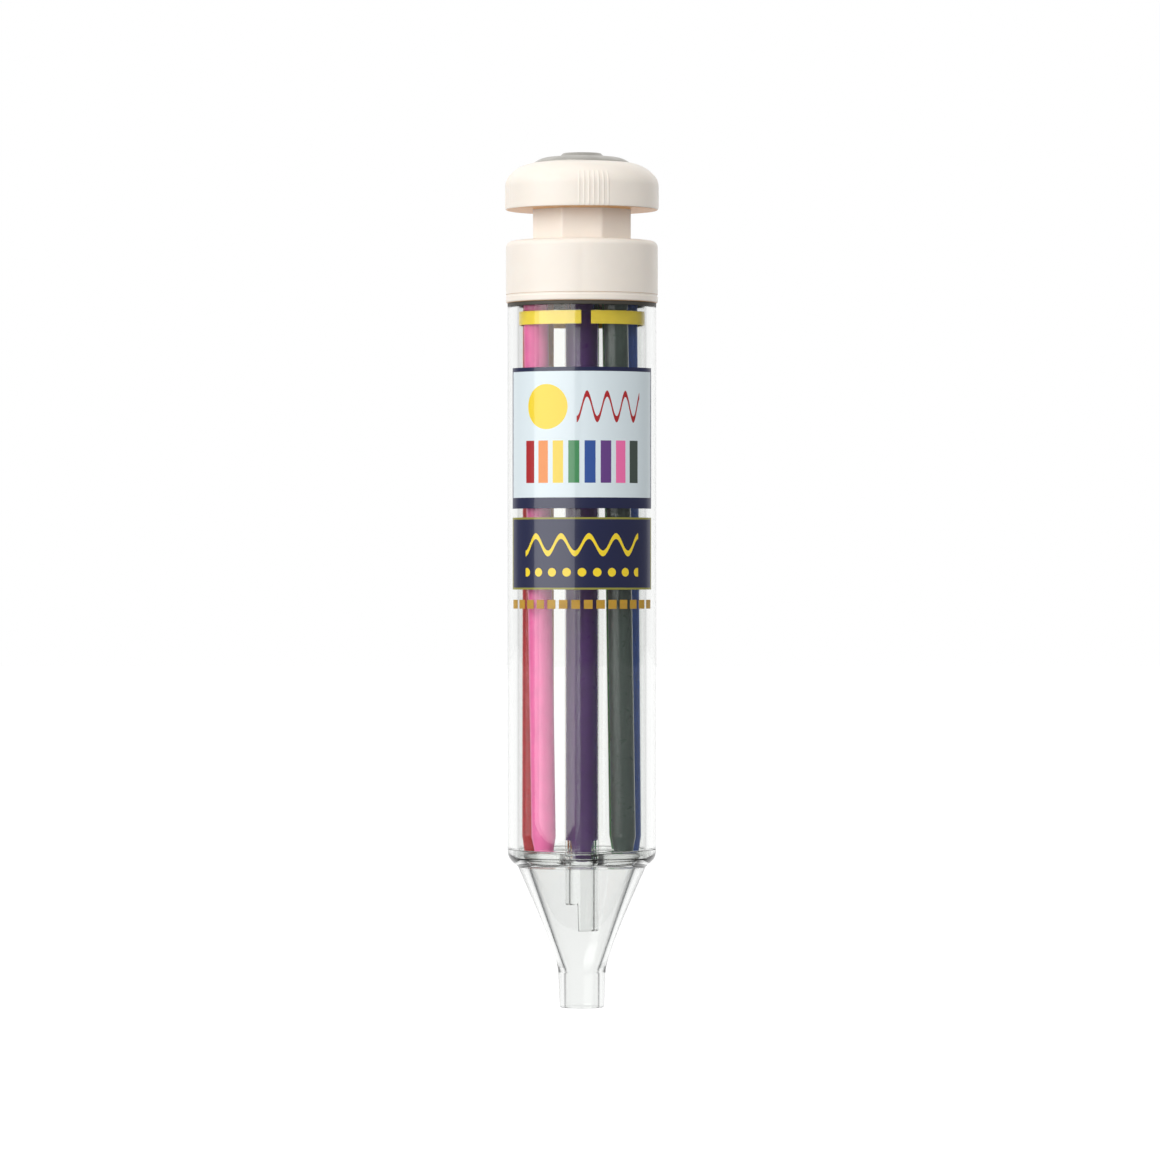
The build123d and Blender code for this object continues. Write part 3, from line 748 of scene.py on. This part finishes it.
class CRAYON_OT_nose(bpy.types.Operator):
    """Adds the clear flared nose with its funnel and nozzle."""

    bl_idname = "crayon.nose"
    bl_label = "Clear Nose"

    def execute(self, context):
        sizes, _, _ = settings()
        rim = NOSE_HIGH.x
        top = NOSE_HIGH.z
        lip = rim - sizes.joint_lip + sizes.fit_gap
        ledge = DISC_LOW.z - sizes.ledge_drop
        pocket = DISC_HIGH.x + sizes.disc_gap
        root = (sizes.nozzle_root, sizes.nozzle_height)
        flare_top = (sizes.flare_radius, sizes.flare_top)
        throat = (sizes.nozzle_bore, sizes.nozzle_height)
        soft = sizes.soft_edge
        corners = [(sizes.nozzle_bore, 0, soft), (sizes.nozzle_radius, 0, 2 * soft)]
        corners += plain(swept(root, flare_top, FLARE_HANDLES))
        corners += plain(swept(flare_top, (rim, top), SHOULDER_HANDLES)[1:-1])
        corners += [(rim, top, soft), (lip, top, 0), (lip, BARREL_LOW.z, 0), (pocket, BARREL_LOW.z, 0)]
        corners += [(pocket, ledge, soft), (sizes.funnel_radius, ledge, soft), (*throat, soft)]
        piece = turned("clear_nose", corners, clear_finish("polished_nose", True))
        ride(piece, "barrel", "clear_plastic", "nose_cone")
        return {"FINISHED"}


class CRAYON_OT_spindle(bpy.types.Operator):
    """Adds the clear channel down the middle and the disc that the waiting crayons stand on."""

    bl_idname = "crayon.spindle"
    bl_label = "Spindle and Disc"

    def execute(self, context):
        sizes, _, _ = settings()
        ride(self.spindle(sizes), "carousel", "clear_plastic", "spindle")
        ride(self.disc(sizes), "carousel", "clear_plastic", "rest_disc")
        return {"FINISHED"}

    def spindle(self, sizes):
        """The channel's wall between an outer arc and an inner U, open to the back, with a stepped foot."""
        outer = SPINDLE_HIGH.x
        bore = sizes.spindle_bore
        mouth = math.sqrt(outer ** 2 - bore ** 2)
        last = math.pi - math.atan2(bore, mouth)
        turns = np.linspace(-last, last, SPINDLE_STEPS)
        side = np.clip(np.abs(turns) - math.pi / 2, 0, None) / (last - math.pi / 2)
        curved = np.clip(turns, -math.pi / 2, math.pi / 2)
        outside = outer * np.stack([np.sin(turns), -np.cos(turns)], -1)
        inside = np.stack([bore * np.sin(curved), mouth * side - bore * np.cos(curved)], -1)
        stepped = outside[:, 0] < -sizes.spindle_step_edge
        foot = SPINDLE_LOW.z + np.where(stepped, sizes.spindle_step, 0.0)
        top = SPINDLE_HIGH.z
        wall = (inside - outside) * sizes.spindle_bevel
        raised = foot + np.linalg.norm(wall, axis=1)
        rows = [(outside, raised), (outside, top), (inside, top), (inside, raised)]
        rows += [(inside - wall, foot), (outside + wall, foot)]
        return grid_piece("clear_spindle", stacked(rows), clear_finish(), close_rows=True)

    def disc(self, sizes):
        """A flat ring with softened edges."""
        inner = SPINDLE_HIGH.x + sizes.fit_gap
        corners = flat_ring(inner, DISC_HIGH.x, DISC_LOW.z, DISC_HIGH.z, sizes.soft_edge)
        return turned("clear_disc", corners, clear_finish())


class CRAYON_OT_hoop(bpy.types.Operator):
    """Adds the split yellow ring in the top of the barrel and the dark ring in the seam above it, which
    paints the shadow line under the collar.
    """

    bl_idname = "crayon.hoop"
    bl_label = "Yellow Ring and Seam"

    def execute(self, context):
        sizes, colours, _ = settings()
        ride(self.hoop(sizes, colours), "barrel", "yellow_plastic", "yellow_ring")
        ride(self.seam(sizes, colours), "barrel", "dark_rubber", "seam_ring")
        return {"FINISHED"}

    def hoop(self, sizes, colours):
        """A thin band carried round the axis from one side of its split to the other."""
        outer = HOOP_HIGH.x
        inner = outer - sizes.hoop_radial
        half_split = sizes.hoop_split / 2 / outer
        first = sizes.hoop_turn + half_split
        last = sizes.hoop_turn - half_split + FULL_TURN
        points = arc_band(inner, outer, HOOP_LOW.z, HOOP_HIGH.z, first, last, sizes.around)
        finish = grained("moulded_yellow", colours.hoop, HOOP_GRAIN)
        return grid_piece("yellow_hoop", points, finish, close_columns=True)

    def seam(self, sizes, colours):
        """A thin dark ring between the barrel and the collar, painted shade for the shadow line in the seam.
        """
        outer = SEAM_HIGH.x
        inner = outer - sizes.joint_lip + sizes.fit_gap
        corners = flat_ring(inner, outer, SEAM_LOW.z, SEAM_HIGH.z, sizes.soft_edge / 2)
        # Painted shade: a dark finish for the shadow line in the seam
        return turned("dark_seam", corners, grained("seam_rubber", colours.seam, SEAM_GRAIN))


class CRAYON_OT_collar(bpy.types.Operator):
    """Adds the cream collar with its rounded top and its groove."""

    bl_idname = "crayon.collar"
    bl_label = "Cream Collar"

    def execute(self, context):
        sizes, _, _ = settings()
        outer = COLLAR_HIGH.x
        foot = COLLAR_LOW.z
        top = COLLAR_HIGH.z
        groove = foot + sizes.groove_rise
        groove_top = groove + sizes.groove_height
        deep = outer - sizes.groove_depth
        step = foot + sizes.collar_step
        neck = sizes.collar_neck
        bore = sizes.collar_bore
        soft = sizes.soft_edge
        corners = [(outer, foot, 2 * soft), (outer, groove, soft), (deep, groove, soft)]
        corners += [(deep, groove_top, soft), (outer, groove_top, soft), (outer, top, sizes.collar_edge)]
        corners += [(neck, top, 2 * soft), (neck, step, 0), (bore, step, 0), (bore, foot, soft)]
        piece = turned("cream_collar", corners, cream_finish(), FINE_CORNER_STEPS)
        ride(piece, "barrel", "cream_plastic", "collar")
        return {"FINISHED"}


class CRAYON_OT_knob(bpy.types.Operator):
    """Adds the cream mushroom knob with its ribs, its eight-sided stem and its grey badge."""

    bl_idname = "crayon.knob"
    bl_label = "Knob, Stem and Badge"

    def execute(self, context):
        sizes, colours, _ = settings()
        ride(self.cap(sizes), "knob", "cream_plastic", "knob_cap")
        ride(self.stem(sizes), "knob", "cream_plastic", "knob_stem")
        ride(self.badge(sizes, colours), "knob", "badge_metal", "knob_badge")
        return {"FINISHED"}

    def rib_rise(self, sizes, turns, heights):
        """How far the ribs stand out: round backs at even turns in each patch, fading at their upper ends."""
        patch = FULL_TURN / RIB_PATCHES
        offset = (turns - sizes.rib_turn + patch / 2) % patch - patch / 2
        number = np.clip(np.round(offset / sizes.rib_pitch), -(RIBS_PER_PATCH // 2), RIBS_PER_PATCH // 2)
        across = (offset - number * sizes.rib_pitch) * sizes.knob_radius
        back = np.sqrt(np.clip(sizes.rib_radius ** 2 - across ** 2, 0, None))
        rise = np.clip(back - sizes.rib_radius + sizes.rib_proud, 0, None)
        foot = KNOB_LOW.z + sizes.knob_lower_edge
        fade = sizes.rib_radius
        fade_in = np.clip((heights - foot) / fade + 0.5, 0, 1)
        fade_out = np.clip((foot + sizes.rib_height - heights) / fade, 0, 1)
        return rise[None] * np.sqrt(fade_in * fade_out)[:, None]

    def rib_turns(self, sizes):
        """Turns about the axis, close together on the patches of ribs and wide apart between them."""
        patch = FULL_TURN / RIB_PATCHES
        half = sizes.rib_pitch * (RIBS_PER_PATCH / 2 + RIB_MARGIN)
        close = np.linspace(-half, half, RIB_STEPS * RIBS_PER_PATCH)
        wide = np.linspace(half, patch - half, BETWEEN_RIBS_STEPS)[1:-1]
        one = np.concatenate([close, wide]) + sizes.rib_turn
        return np.concatenate([one + patch * number for number in range(RIB_PATCHES)])

    def cap(self, sizes):
        """A turned mushroom with ribs on its rim, an eight-sided socket below and the badge's seat on top."""
        radius = sizes.knob_radius
        foot = KNOB_LOW.z
        seat = BADGE_LOW.z
        top = seat + sizes.badge_sink
        hole = BADGE_HIGH.x + sizes.close_gap
        lower = sizes.knob_lower_edge
        soft = sizes.soft_edge
        rim_high = top - sizes.shoulder_height
        arc = np.linspace(0, math.pi / 2, SHOULDER_STEPS)
        shoulder_r = radius - sizes.shoulder_width * (1 - np.cos(arc))
        shoulder_z = rim_high + sizes.shoulder_height * np.sin(arc)
        shoulder = np.stack([shoulder_r, shoulder_z], -1)[shoulder_r > hole + soft]
        lip = shoulder[-1, 1]
        edge_top = foot + 2 * lower
        edge_corners = [(radius - 4 * lower, foot, 0), (radius, foot, lower), (radius, edge_top, 0)]
        side = np.linspace(edge_top, rim_high, RIM_STEPS)[1:-1]
        socket = sizes.stem_flats / 2 + sizes.close_gap
        socket_top = foot + sizes.stem_seat
        profile = np.concatenate(
            [
                [(0, socket_top), (socket, socket_top), (socket, foot)],
                rounded(edge_corners, KNOB_EDGE_STEPS, False),
                np.stack([np.full_like(side, radius), side], -1),
                shoulder,
                [(hole + SEAT_SHARE * soft, lip), (hole, lip - soft), (hole, seat), (0, seat)],
            ]
        )
        turns = self.rib_turns(sizes)
        points = lathe(profile, turns)
        on_rim = (profile[:, 0] > hole + lower)[:, None]
        rise = np.where(on_rim, self.rib_rise(sizes, turns, profile[:, 1]), 0)
        points[..., 0] += rise * np.sin(turns)
        points[..., 1] -= rise * np.cos(turns)
        sector = FULL_TURN / STEM_SIDES
        many_sided = 1 / np.cos((turns + sector / 2) % sector - sector / 2)
        points[1:3, :, :2] *= many_sided[None, :, None]
        return grid_piece("cream_knob", points, cream_finish(), close_columns=True)

    def stem(self, sizes):
        """A hollow block with eight rounded edges, in rows from its middle over its side and up its bore."""
        corner = sizes.stem_flats / 2 / math.cos(math.pi / STEM_SIDES)
        at = around(STEM_SIDES) + math.pi / STEM_SIDES
        corners = np.stack([corner * np.sin(at), -corner * np.cos(at), np.full_like(at, sizes.stem_edge)], -1)
        outline = rounded(corners, FINE_CORNER_STEPS)
        bore = outline / np.linalg.norm(outline, axis=1, keepdims=True) * sizes.stem_bore
        ceiling = STEM_HIGH.z - sizes.stem_ceiling
        rows = [(outline * 0, STEM_HIGH.z), (outline, STEM_HIGH.z), (outline, STEM_LOW.z), (bore, STEM_LOW.z)]
        rows += [(bore, ceiling), (bore * 0, ceiling)]
        return grid_piece("cream_stem", stacked(rows), cream_finish(), close_columns=True)

    def badge(self, sizes, colours):
        """A plain low dome with a raised middle."""
        radius = BADGE_HIGH.x
        rim = BADGE_LOW.z + sizes.badge_sink + sizes.badge_edge
        crown = rim + sizes.badge_dome
        boss = sizes.badge_boss
        rise = sizes.badge_boss_rise
        soft = sizes.soft_edge
        near = (radius - BADGE_EASE * sizes.badge_rounding, crown)
        far = (radius - sizes.badge_rounding, crown)
        corners = [(0, BADGE_LOW.z, 0), (radius, BADGE_LOW.z, 0)]
        corners += plain(bezier((radius, rim), near, far, (boss, crown))[:-1])
        corners += [(boss, crown, soft), (boss - rise, crown + rise, soft), (0, crown + rise, 0)]
        finish = grained("satin_badge", colours.badge, BADGE_GRAIN, Metallic=BADGE_METAL)
        return turned("grey_badge", corners, finish, closed=False)


class CRAYON_OT_waxes(bpy.types.Operator):
    """Adds the eight wax crayons, the selected one on the axis and the others round it."""

    bl_idname = "crayon.waxes"
    bl_label = "Wax Crayons"

    def execute(self, context):
        sizes, _, _ = settings()
        for colour in COLOURS:
            finish = wax_finish(colour)
            body = "selected_crayon" if colour == SELECTED else "carousel"
            piece = grid_piece("wax_stick_" + colour, self.stick(sizes, colour), finish, close_columns=True)
            ride(piece, body, "wax_" + colour, "crayon_" + colour)
            dress("plug_" + colour, finish)
        return {"FINISHED"}

    def ends(self, sizes, colour):
        """The tip and the shoulder of one crayon's axis: a circle's points at two turns and two heights."""
        high = PURPLE_HIGH.z - PURPLE_HIGH.x
        if colour == SELECTED:
            return np.array([0, 0, PURPLE_LOW.z]), np.array([0, 0, high])
        foot, lean = np.radians(WAITING_TURNS[colour])
        low = DISC_HIGH.z + sizes.fit_gap
        circle = sizes.circle_radius
        tip = np.array([circle * math.sin(foot), -circle * math.cos(foot), low])
        shoulder = np.array([circle * math.sin(lean), -circle * math.cos(lean), high])
        return tip, shoulder

    def stick(self, sizes, colour):
        """A turned stick with a tapered tip and a round top, laid along the line between its two ends."""
        tip, shoulder = self.ends(sizes, colour)
        way = shoulder - tip
        length = np.linalg.norm(way)
        way = way / length
        radius = sizes.spindle_bore + sizes.wax_press if colour == SELECTED else PURPLE_HIGH.x
        soft = sizes.soft_edge
        taper = sizes.crayon_taper
        corners = [(0, 0, 0), (sizes.crayon_tip, 0, 2 * soft), (radius, taper, 4 * soft), (radius, length, 0)]
        lower = rounded(corners, closed=False)
        arc = np.linspace(0, math.pi / 2, CROWN_STEPS)[1:]
        crown = np.stack([radius * np.cos(arc), length + radius * np.sin(arc)], -1)
        points = lathe(np.concatenate([lower, crown]), around(STICK_STEPS))
        side = np.cross([0.0, 1.0, 0.0], way)
        side = side / np.linalg.norm(side)
        basis = np.stack([side, np.cross(way, side), way])
        return tip + points @ basis


class CRAYON_OT_inner_parts(bpy.types.Operator):
    """Adds the return spring, and gives the hidden sleeve, index spring, screw and stop ring a finish."""

    bl_idname = "crayon.inner_parts"
    bl_label = "Inner Parts"

    def execute(self, context):
        sizes, colours, _ = settings()
        steel = grained("drawn_steel", colours.steel, STEEL_GRAIN, Metallic=STEEL_METAL)
        for name in ("index_spring", "knob_screw", "stop_ring"):
            dress(name, steel)
        dress("selector_sleeve", cream_finish())
        spring = ride(self.spring(sizes, steel), "knob", "spring_steel", "return_spring")
        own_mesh(spring)
        return {"FINISHED"}

    def spring(self, sizes, finish):
        """A round wire carried along a coil: x = r cos t, y = r sin t, and z rises evenly over the turns."""
        wire = sizes.spring_wire
        along = np.linspace(0, SPRING_TURNS * FULL_TURN, SPRING_STEPS)[:, None]
        level = np.linspace(SPRING_LOW.z + wire, SPRING_HIGH.z - wire, SPRING_STEPS)[:, None]
        section = around(WIRE_STEPS)
        radius = SPRING_HIGH.x - wire + wire * np.cos(section)
        height = level + wire * np.sin(section)
        points = np.stack([radius * np.cos(along), radius * np.sin(along), height], -1)
        return grid_piece("coil_spring", capped(points), finish, close_columns=True)


def within(tree, value, middle, half):
    """One where a value lies within a distance of a middle, else zero."""
    return math_node(tree, "COMPARE", value, middle, half)


def both_of(tree, *masks):
    """One where all masks are one."""
    result = masks[0]
    for mask in masks[1:]:
        result = math_node(tree, "MULTIPLY", result, mask)
    return result


def print_material(name):
    """An empty print material with its arc and height in millimetres, from the panel's own map."""
    material, tree, shader, _ = blank_material(name)
    place = node(tree, "ShaderNodeUVMap").outputs["UV"]
    parts = node(tree, "ShaderNodeSeparateXYZ", Vector=place).outputs
    fill(tree, shader, **PRINT_GLOSS)
    return material, tree, shader, parts["X"], parts["Y"]


class CRAYON_OT_print(bpy.types.Operator):
    """Adds the printed panels round the front of the barrel, with a plain pattern of bars and waves."""

    bl_idname = "crayon.print"
    bl_label = "Printed Panels"

    def execute(self, context):
        sizes, colours, _ = settings()
        panel = self.panel_finish(sizes, colours)
        band = self.band_finish(sizes, colours)
        ride(self.sheet(sizes, "print_panel", sizes.panel_foot, sizes.panel_top, panel), "barrel", PRINT_SLOT)
        ride(self.sheet(sizes, "print_band", sizes.band_foot, sizes.band_top, band), "barrel", PRINT_SLOT)
        ride(self.dashes(sizes, colours), "barrel", PRINT_SLOT)
        return {"FINISHED"}

    def sheet(self, sizes, name, low, high, finish):
        """A thin curved film just outside the barrel, mapped in millimetres of arc and height."""
        inner = BARREL_HIGH.x + sizes.close_gap
        arc = sizes.print_arc
        points = arc_band(inner, inner + sizes.print_film, low, high, -arc, arc, PRINT_STEPS)
        piece = grid_piece(name, points, finish, close_columns=True)
        mesh = piece.data
        spots = np.empty(len(mesh.vertices) * 3)
        mesh.vertices.foreach_get("co", spots)
        spots = spots.reshape(-1, 3)
        flat = np.stack([np.arctan2(spots[:, 0], -spots[:, 1]) * inner, spots[:, 2] - low], -1) / MM
        corner = np.empty(len(mesh.loops), int)
        mesh.loops.foreach_get("vertex_index", corner)
        mesh.uv_layers.new(name="UVMap").data.foreach_set("uv", flat[corner].ravel())
        return piece

    def dashes(self, sizes, colours):
        """A row of short amber dashes: equal arcs, each with a space after it."""
        inner = BARREL_HIGH.x + sizes.close_gap
        outer = inner + sizes.print_film
        pitch = 2 * sizes.print_arc / DASHES
        first = np.arange(DASHES) * pitch - sizes.print_arc + DASH_SPACE / 2 * pitch
        last = first + (1 - DASH_SPACE) * pitch
        low = sizes.dash_foot
        high = sizes.dash_top
        points = np.stack([arc_band(inner, outer, low, high, *ends, DASH_STEPS) for ends in zip(first, last)])
        finish = grained("dash_print", colours.amber, DASH_GRAIN)
        return grid_piece("print_dashes", points, finish, close_columns=True)

    def panel_finish(self, sizes, colours):
        """Pale fill in a fine dark frame with a deep foot, a yellow round, a red wave and a row of bars."""
        material, tree, shader, arc, height = print_material("panel_print")
        tall = (sizes.panel_top - sizes.panel_foot) / MM
        half = sizes.print_arc * BARREL_HIGH.x / MM
        low = sizes.panel_base / MM
        high = tall - sizes.panel_head / MM
        across = within(tree, arc, 0.0, half - sizes.print_line / MM)
        inside = both_of(tree, across, within(tree, height, (high + low) / 2, (high - low) / 2))
        colour = mix_colour(tree, inside, opaque(colours.navy), opaque(colours.pale))
        spot = self.round_mask(tree, arc, height, SPOT_PLACE * half, SPOT_LEVEL * tall, SPOT_RADIUS * tall)
        colour = mix_colour(tree, spot, colour, opaque(colours.signal))
        wave = self.wave_mask(tree, arc, height, half, tall, RED_WAVE)
        colour = mix_colour(tree, wave, colour, opaque(colours.red))
        bars, shades = self.bars(tree, colours, arc, height, half, tall)
        fill(tree, shader, Base_Color=mix_colour(tree, bars, colour, shades))
        return material

    def band_finish(self, sizes, colours):
        """Dark band with a fine yellow outline, a yellow wave and a row of dots."""
        material, tree, shader, arc, height = print_material("band_print")
        tall = (sizes.band_top - sizes.band_foot) / MM
        half = sizes.print_arc * BARREL_HIGH.x / MM
        line = sizes.print_line / MM
        across = within(tree, arc, 0.0, half - line)
        inside = both_of(tree, across, within(tree, height, tall / 2, tall / 2 - line))
        colour = mix_colour(tree, inside, opaque(colours.olive), opaque(colours.navy))
        wave = self.wave_mask(tree, arc, height, half, tall, YELLOW_WAVE)
        colour = mix_colour(tree, wave, colour, opaque(colours.signal))
        along = math_node(tree, "PINGPONG", arc, DOT_PITCH / 2)
        dots = self.round_mask(tree, along, height, 0.0, DOT_LEVEL * tall, DOT_RADIUS * tall)
        dots = both_of(tree, dots, within(tree, arc, 0.0, YELLOW_WAVE.reach * half))
        fill(tree, shader, Base_Color=mix_colour(tree, dots, colour, opaque(colours.signal)))
        return material

    def round_mask(self, tree, arc, height, middle, level, radius):
        """One inside a circle."""
        across = math_node(tree, "SUBTRACT", arc, middle)
        along = math_node(tree, "SUBTRACT", height, level)
        square = math_node(tree, "MULTIPLY_ADD", across, across, math_node(tree, "MULTIPLY", along, along))
        return math_node(tree, "LESS_THAN", square, radius * radius)

    def wave_mask(self, tree, arc, height, half, tall, wave):
        """One on a line that swings about its level, along its stretch of the arc."""
        swung = math_node(tree, "SINE", math_node(tree, "MULTIPLY", arc, FULL_TURN / (2 * wave.pitch)))
        line = math_node(tree, "MULTIPLY_ADD", swung, wave.swing * tall, wave.level * tall)
        away = math_node(tree, "SUBTRACT", height, line)
        stretch = within(tree, arc, wave.middle * half, wave.reach * half)
        return both_of(tree, within(tree, away, 0.0, wave.half_line), stretch)

    def bars(self, tree, colours, arc, height, half, tall):
        """A row of upright bars, with each crayon's colour in turn: the mask and the colour along the row."""
        count = len(BAR_COLOURS)
        along = math_node(tree, "MULTIPLY_ADD", arc, 0.5 / (BAR_ROW * half), 0.5)
        place = math_node(tree, "FRACT", math_node(tree, "MULTIPLY", along, count))
        mask = both_of(
            tree,
            within(tree, place, 0.5, BAR_HALF_WIDTH),
            within(tree, height, BAR_LEVEL * tall, BAR_HALF_HEIGHT * tall),
            within(tree, along, 0.5, 0.5),
        )
        ramp = node(tree, "ShaderNodeValToRGB", Fac=along)
        ramp.color_ramp.interpolation = "CONSTANT"
        stops = ramp.color_ramp.elements
        stops.remove(stops[1])
        for number, colour in enumerate(BAR_COLOURS):
            stop = stops.new(number / count) if number else stops[0]
            stop.color = opaque(getattr(colours, colour))
        return mask, ramp.outputs["Color"]


class CRAYON_OT_stage(bpy.types.Operator):
    """Adds the pale floor, the softbox, the surroundings and the camera."""

    bl_idname = "crayon.stage"
    bl_label = "Studio"

    def execute(self, context):
        _, colours, stage = settings()
        scene = context.scene
        scene.view_settings.view_transform = "Standard"
        self.floor(colours, stage)
        self.surroundings(scene, stage)
        self.softbox(scene, stage)
        self.camera(scene, stage)
        return {"FINISHED"}

    def levels(self, tree, stage, way, matt_level):
        """Brightness by the kind of ray: one straight on or through clear pieces, a level for matt surfaces,
        and after a mirror turn a level that falls from behind the crayon to the camera's side."""
        path = node(tree, "ShaderNodeLightPath").outputs
        mirror = math_node(tree, "MINIMUM", path["Glossy Depth"], 1.0)
        matt = math_node(tree, "MINIMUM", path["Diffuse Depth"], 1.0)
        depth = node(tree, "ShaderNodeSeparateXYZ", Vector=way).outputs["Y"]
        mirrored = map_range(tree, depth, *MIRROR_RANGE, stage.world_before, stage.world_behind)
        seen = math_node(tree, "MULTIPLY_ADD", mirror, math_node(tree, "SUBTRACT", mirrored, 1.0), 1.0)
        return math_node(tree, "MULTIPLY_ADD", matt, math_node(tree, "SUBTRACT", matt_level, seen), seen)

    def floor(self, colours, stage):
        """A wide flat floor under the nozzle that glows a little to the camera and keeps shadows."""
        half = stage.floor_half
        across = np.linspace(-half, half, 3)
        x, y = np.meshgrid(across, across, indexing="ij")
        points = np.stack([x, y, np.full_like(x, -stage.floor_drop)], -1)
        material, tree, shader, _ = blank_material("pale_floor")
        place = node(tree, "ShaderNodeTexCoord").outputs["Object"]
        cloud = noise(tree, place, *FLOOR_CLOUDS)
        colour = mix_colour(tree, cloud, opaque(colours.floor), darker(colours.floor, FLOOR_SHADE))
        way = vector_node(tree, "NORMALIZE", place)["Vector"]
        glow = math_node(tree, "MULTIPLY", self.levels(tree, stage, way, 0.0), stage.floor_glow)
        fill(tree, shader, Base_Color=colour, Roughness=FLOOR_ROUGHNESS, Specular_IOR_Level=0.0)
        fill(tree, shader, Emission_Strength=glow, Emission_Color=WHITE)
        floor = grid_piece("floor", points, material)

    def surroundings(self, scene, stage):
        """White to the camera and through clear pieces, softer on matt ones, and dark in front in mirrors."""
        world = bpy.data.worlds.new("studio")
        world.use_nodes = True
        tree = world.node_tree
        way = node(tree, "ShaderNodeTexCoord").outputs["Generated"]
        total = self.levels(tree, stage, way, stage.world_light)
        fill(tree, tree.nodes["Background"], Color=WHITE, Strength=total)
        scene.world = world

    def softbox(self, scene, stage):
        """A tall panel of light on the left, between two angles from the camera, turned to the axis."""
        middle = (stage.key_near + stage.key_far) / 2
        spread = (stage.key_far - stage.key_near) / 2
        lamp = bpy.data.lights.new("softbox", "AREA")
        lamp.shape = "RECTANGLE"
        lamp.size = 2 * stage.key_distance * math.tan(spread)
        lamp.size_y = stage.key_height
        lamp.energy = math.pi * lamp.size * lamp.size_y * stage.key_level
        place = bpy.data.objects.new("softbox", lamp)
        reach = stage.key_distance
        place.location = (-reach * math.sin(middle), -reach * math.cos(middle), stage.key_rise)
        place.rotation_euler = (math.pi / 2, 0, -middle)
        scene.collection.objects.link(place)

    def camera(self, scene, stage):
        """A level long-lens camera in front."""
        lens = bpy.data.cameras.new("camera")
        lens.lens = lens.sensor_width * stage.camera_distance / stage.frame_width
        camera = bpy.data.objects.new("camera", lens)
        camera.location = (stage.camera_side, -stage.camera_distance, stage.camera_height)
        camera.rotation_euler = (math.pi / 2, 0, 0)
        scene.collection.objects.link(camera)
        scene.camera = camera


class CRAYON_PT_panel(bpy.types.Panel):
    """Lists the crayon's operators."""

    bl_idname = "CRAYON_PT_panel"
    bl_label = "Push Crayon"
    bl_space_type = "VIEW_3D"
    bl_region_type = "UI"
    bl_category = "Crayon"

    def draw(self, context):
        for operator in OPERATORS:
            self.layout.operator(operator.bl_idname)


OPERATORS = (
    CRAYON_OT_barrel,
    CRAYON_OT_nose,
    CRAYON_OT_spindle,
    CRAYON_OT_hoop,
    CRAYON_OT_collar,
    CRAYON_OT_knob,
    CRAYON_OT_waxes,
    CRAYON_OT_inner_parts,
    CRAYON_OT_print,
    CRAYON_OT_stage,
)
CLASSES = (CrayonSizes, CrayonColours, CrayonStage, *OPERATORS, CRAYON_PT_panel)


def register():
    """Registers the classes and hangs their values on the scene."""
    for kind in CLASSES:
        bpy.utils.register_class(kind)
    bpy.types.Scene.crayon_sizes = PointerProperty(type=CrayonSizes)
    bpy.types.Scene.crayon_colours = PointerProperty(type=CrayonColours)
    bpy.types.Scene.crayon_stage = PointerProperty(type=CrayonStage)


def unregister():
    """Takes everything away again."""
    del bpy.types.Scene.crayon_stage
    del bpy.types.Scene.crayon_colours
    del bpy.types.Scene.crayon_sizes
    for kind in reversed(CLASSES):
        bpy.utils.unregister_class(kind)


def main():
    """Builds every piece and the studio."""
    register()
    bpy.ops.crayon.barrel()
    bpy.ops.crayon.nose()
    bpy.ops.crayon.spindle()
    bpy.ops.crayon.hoop()
    bpy.ops.crayon.collar()
    bpy.ops.crayon.knob()
    bpy.ops.crayon.waxes()
    bpy.ops.crayon.inner_parts()
    bpy.ops.crayon.print()
    bpy.ops.crayon.stage()


if __name__ == "__main__":
    main()
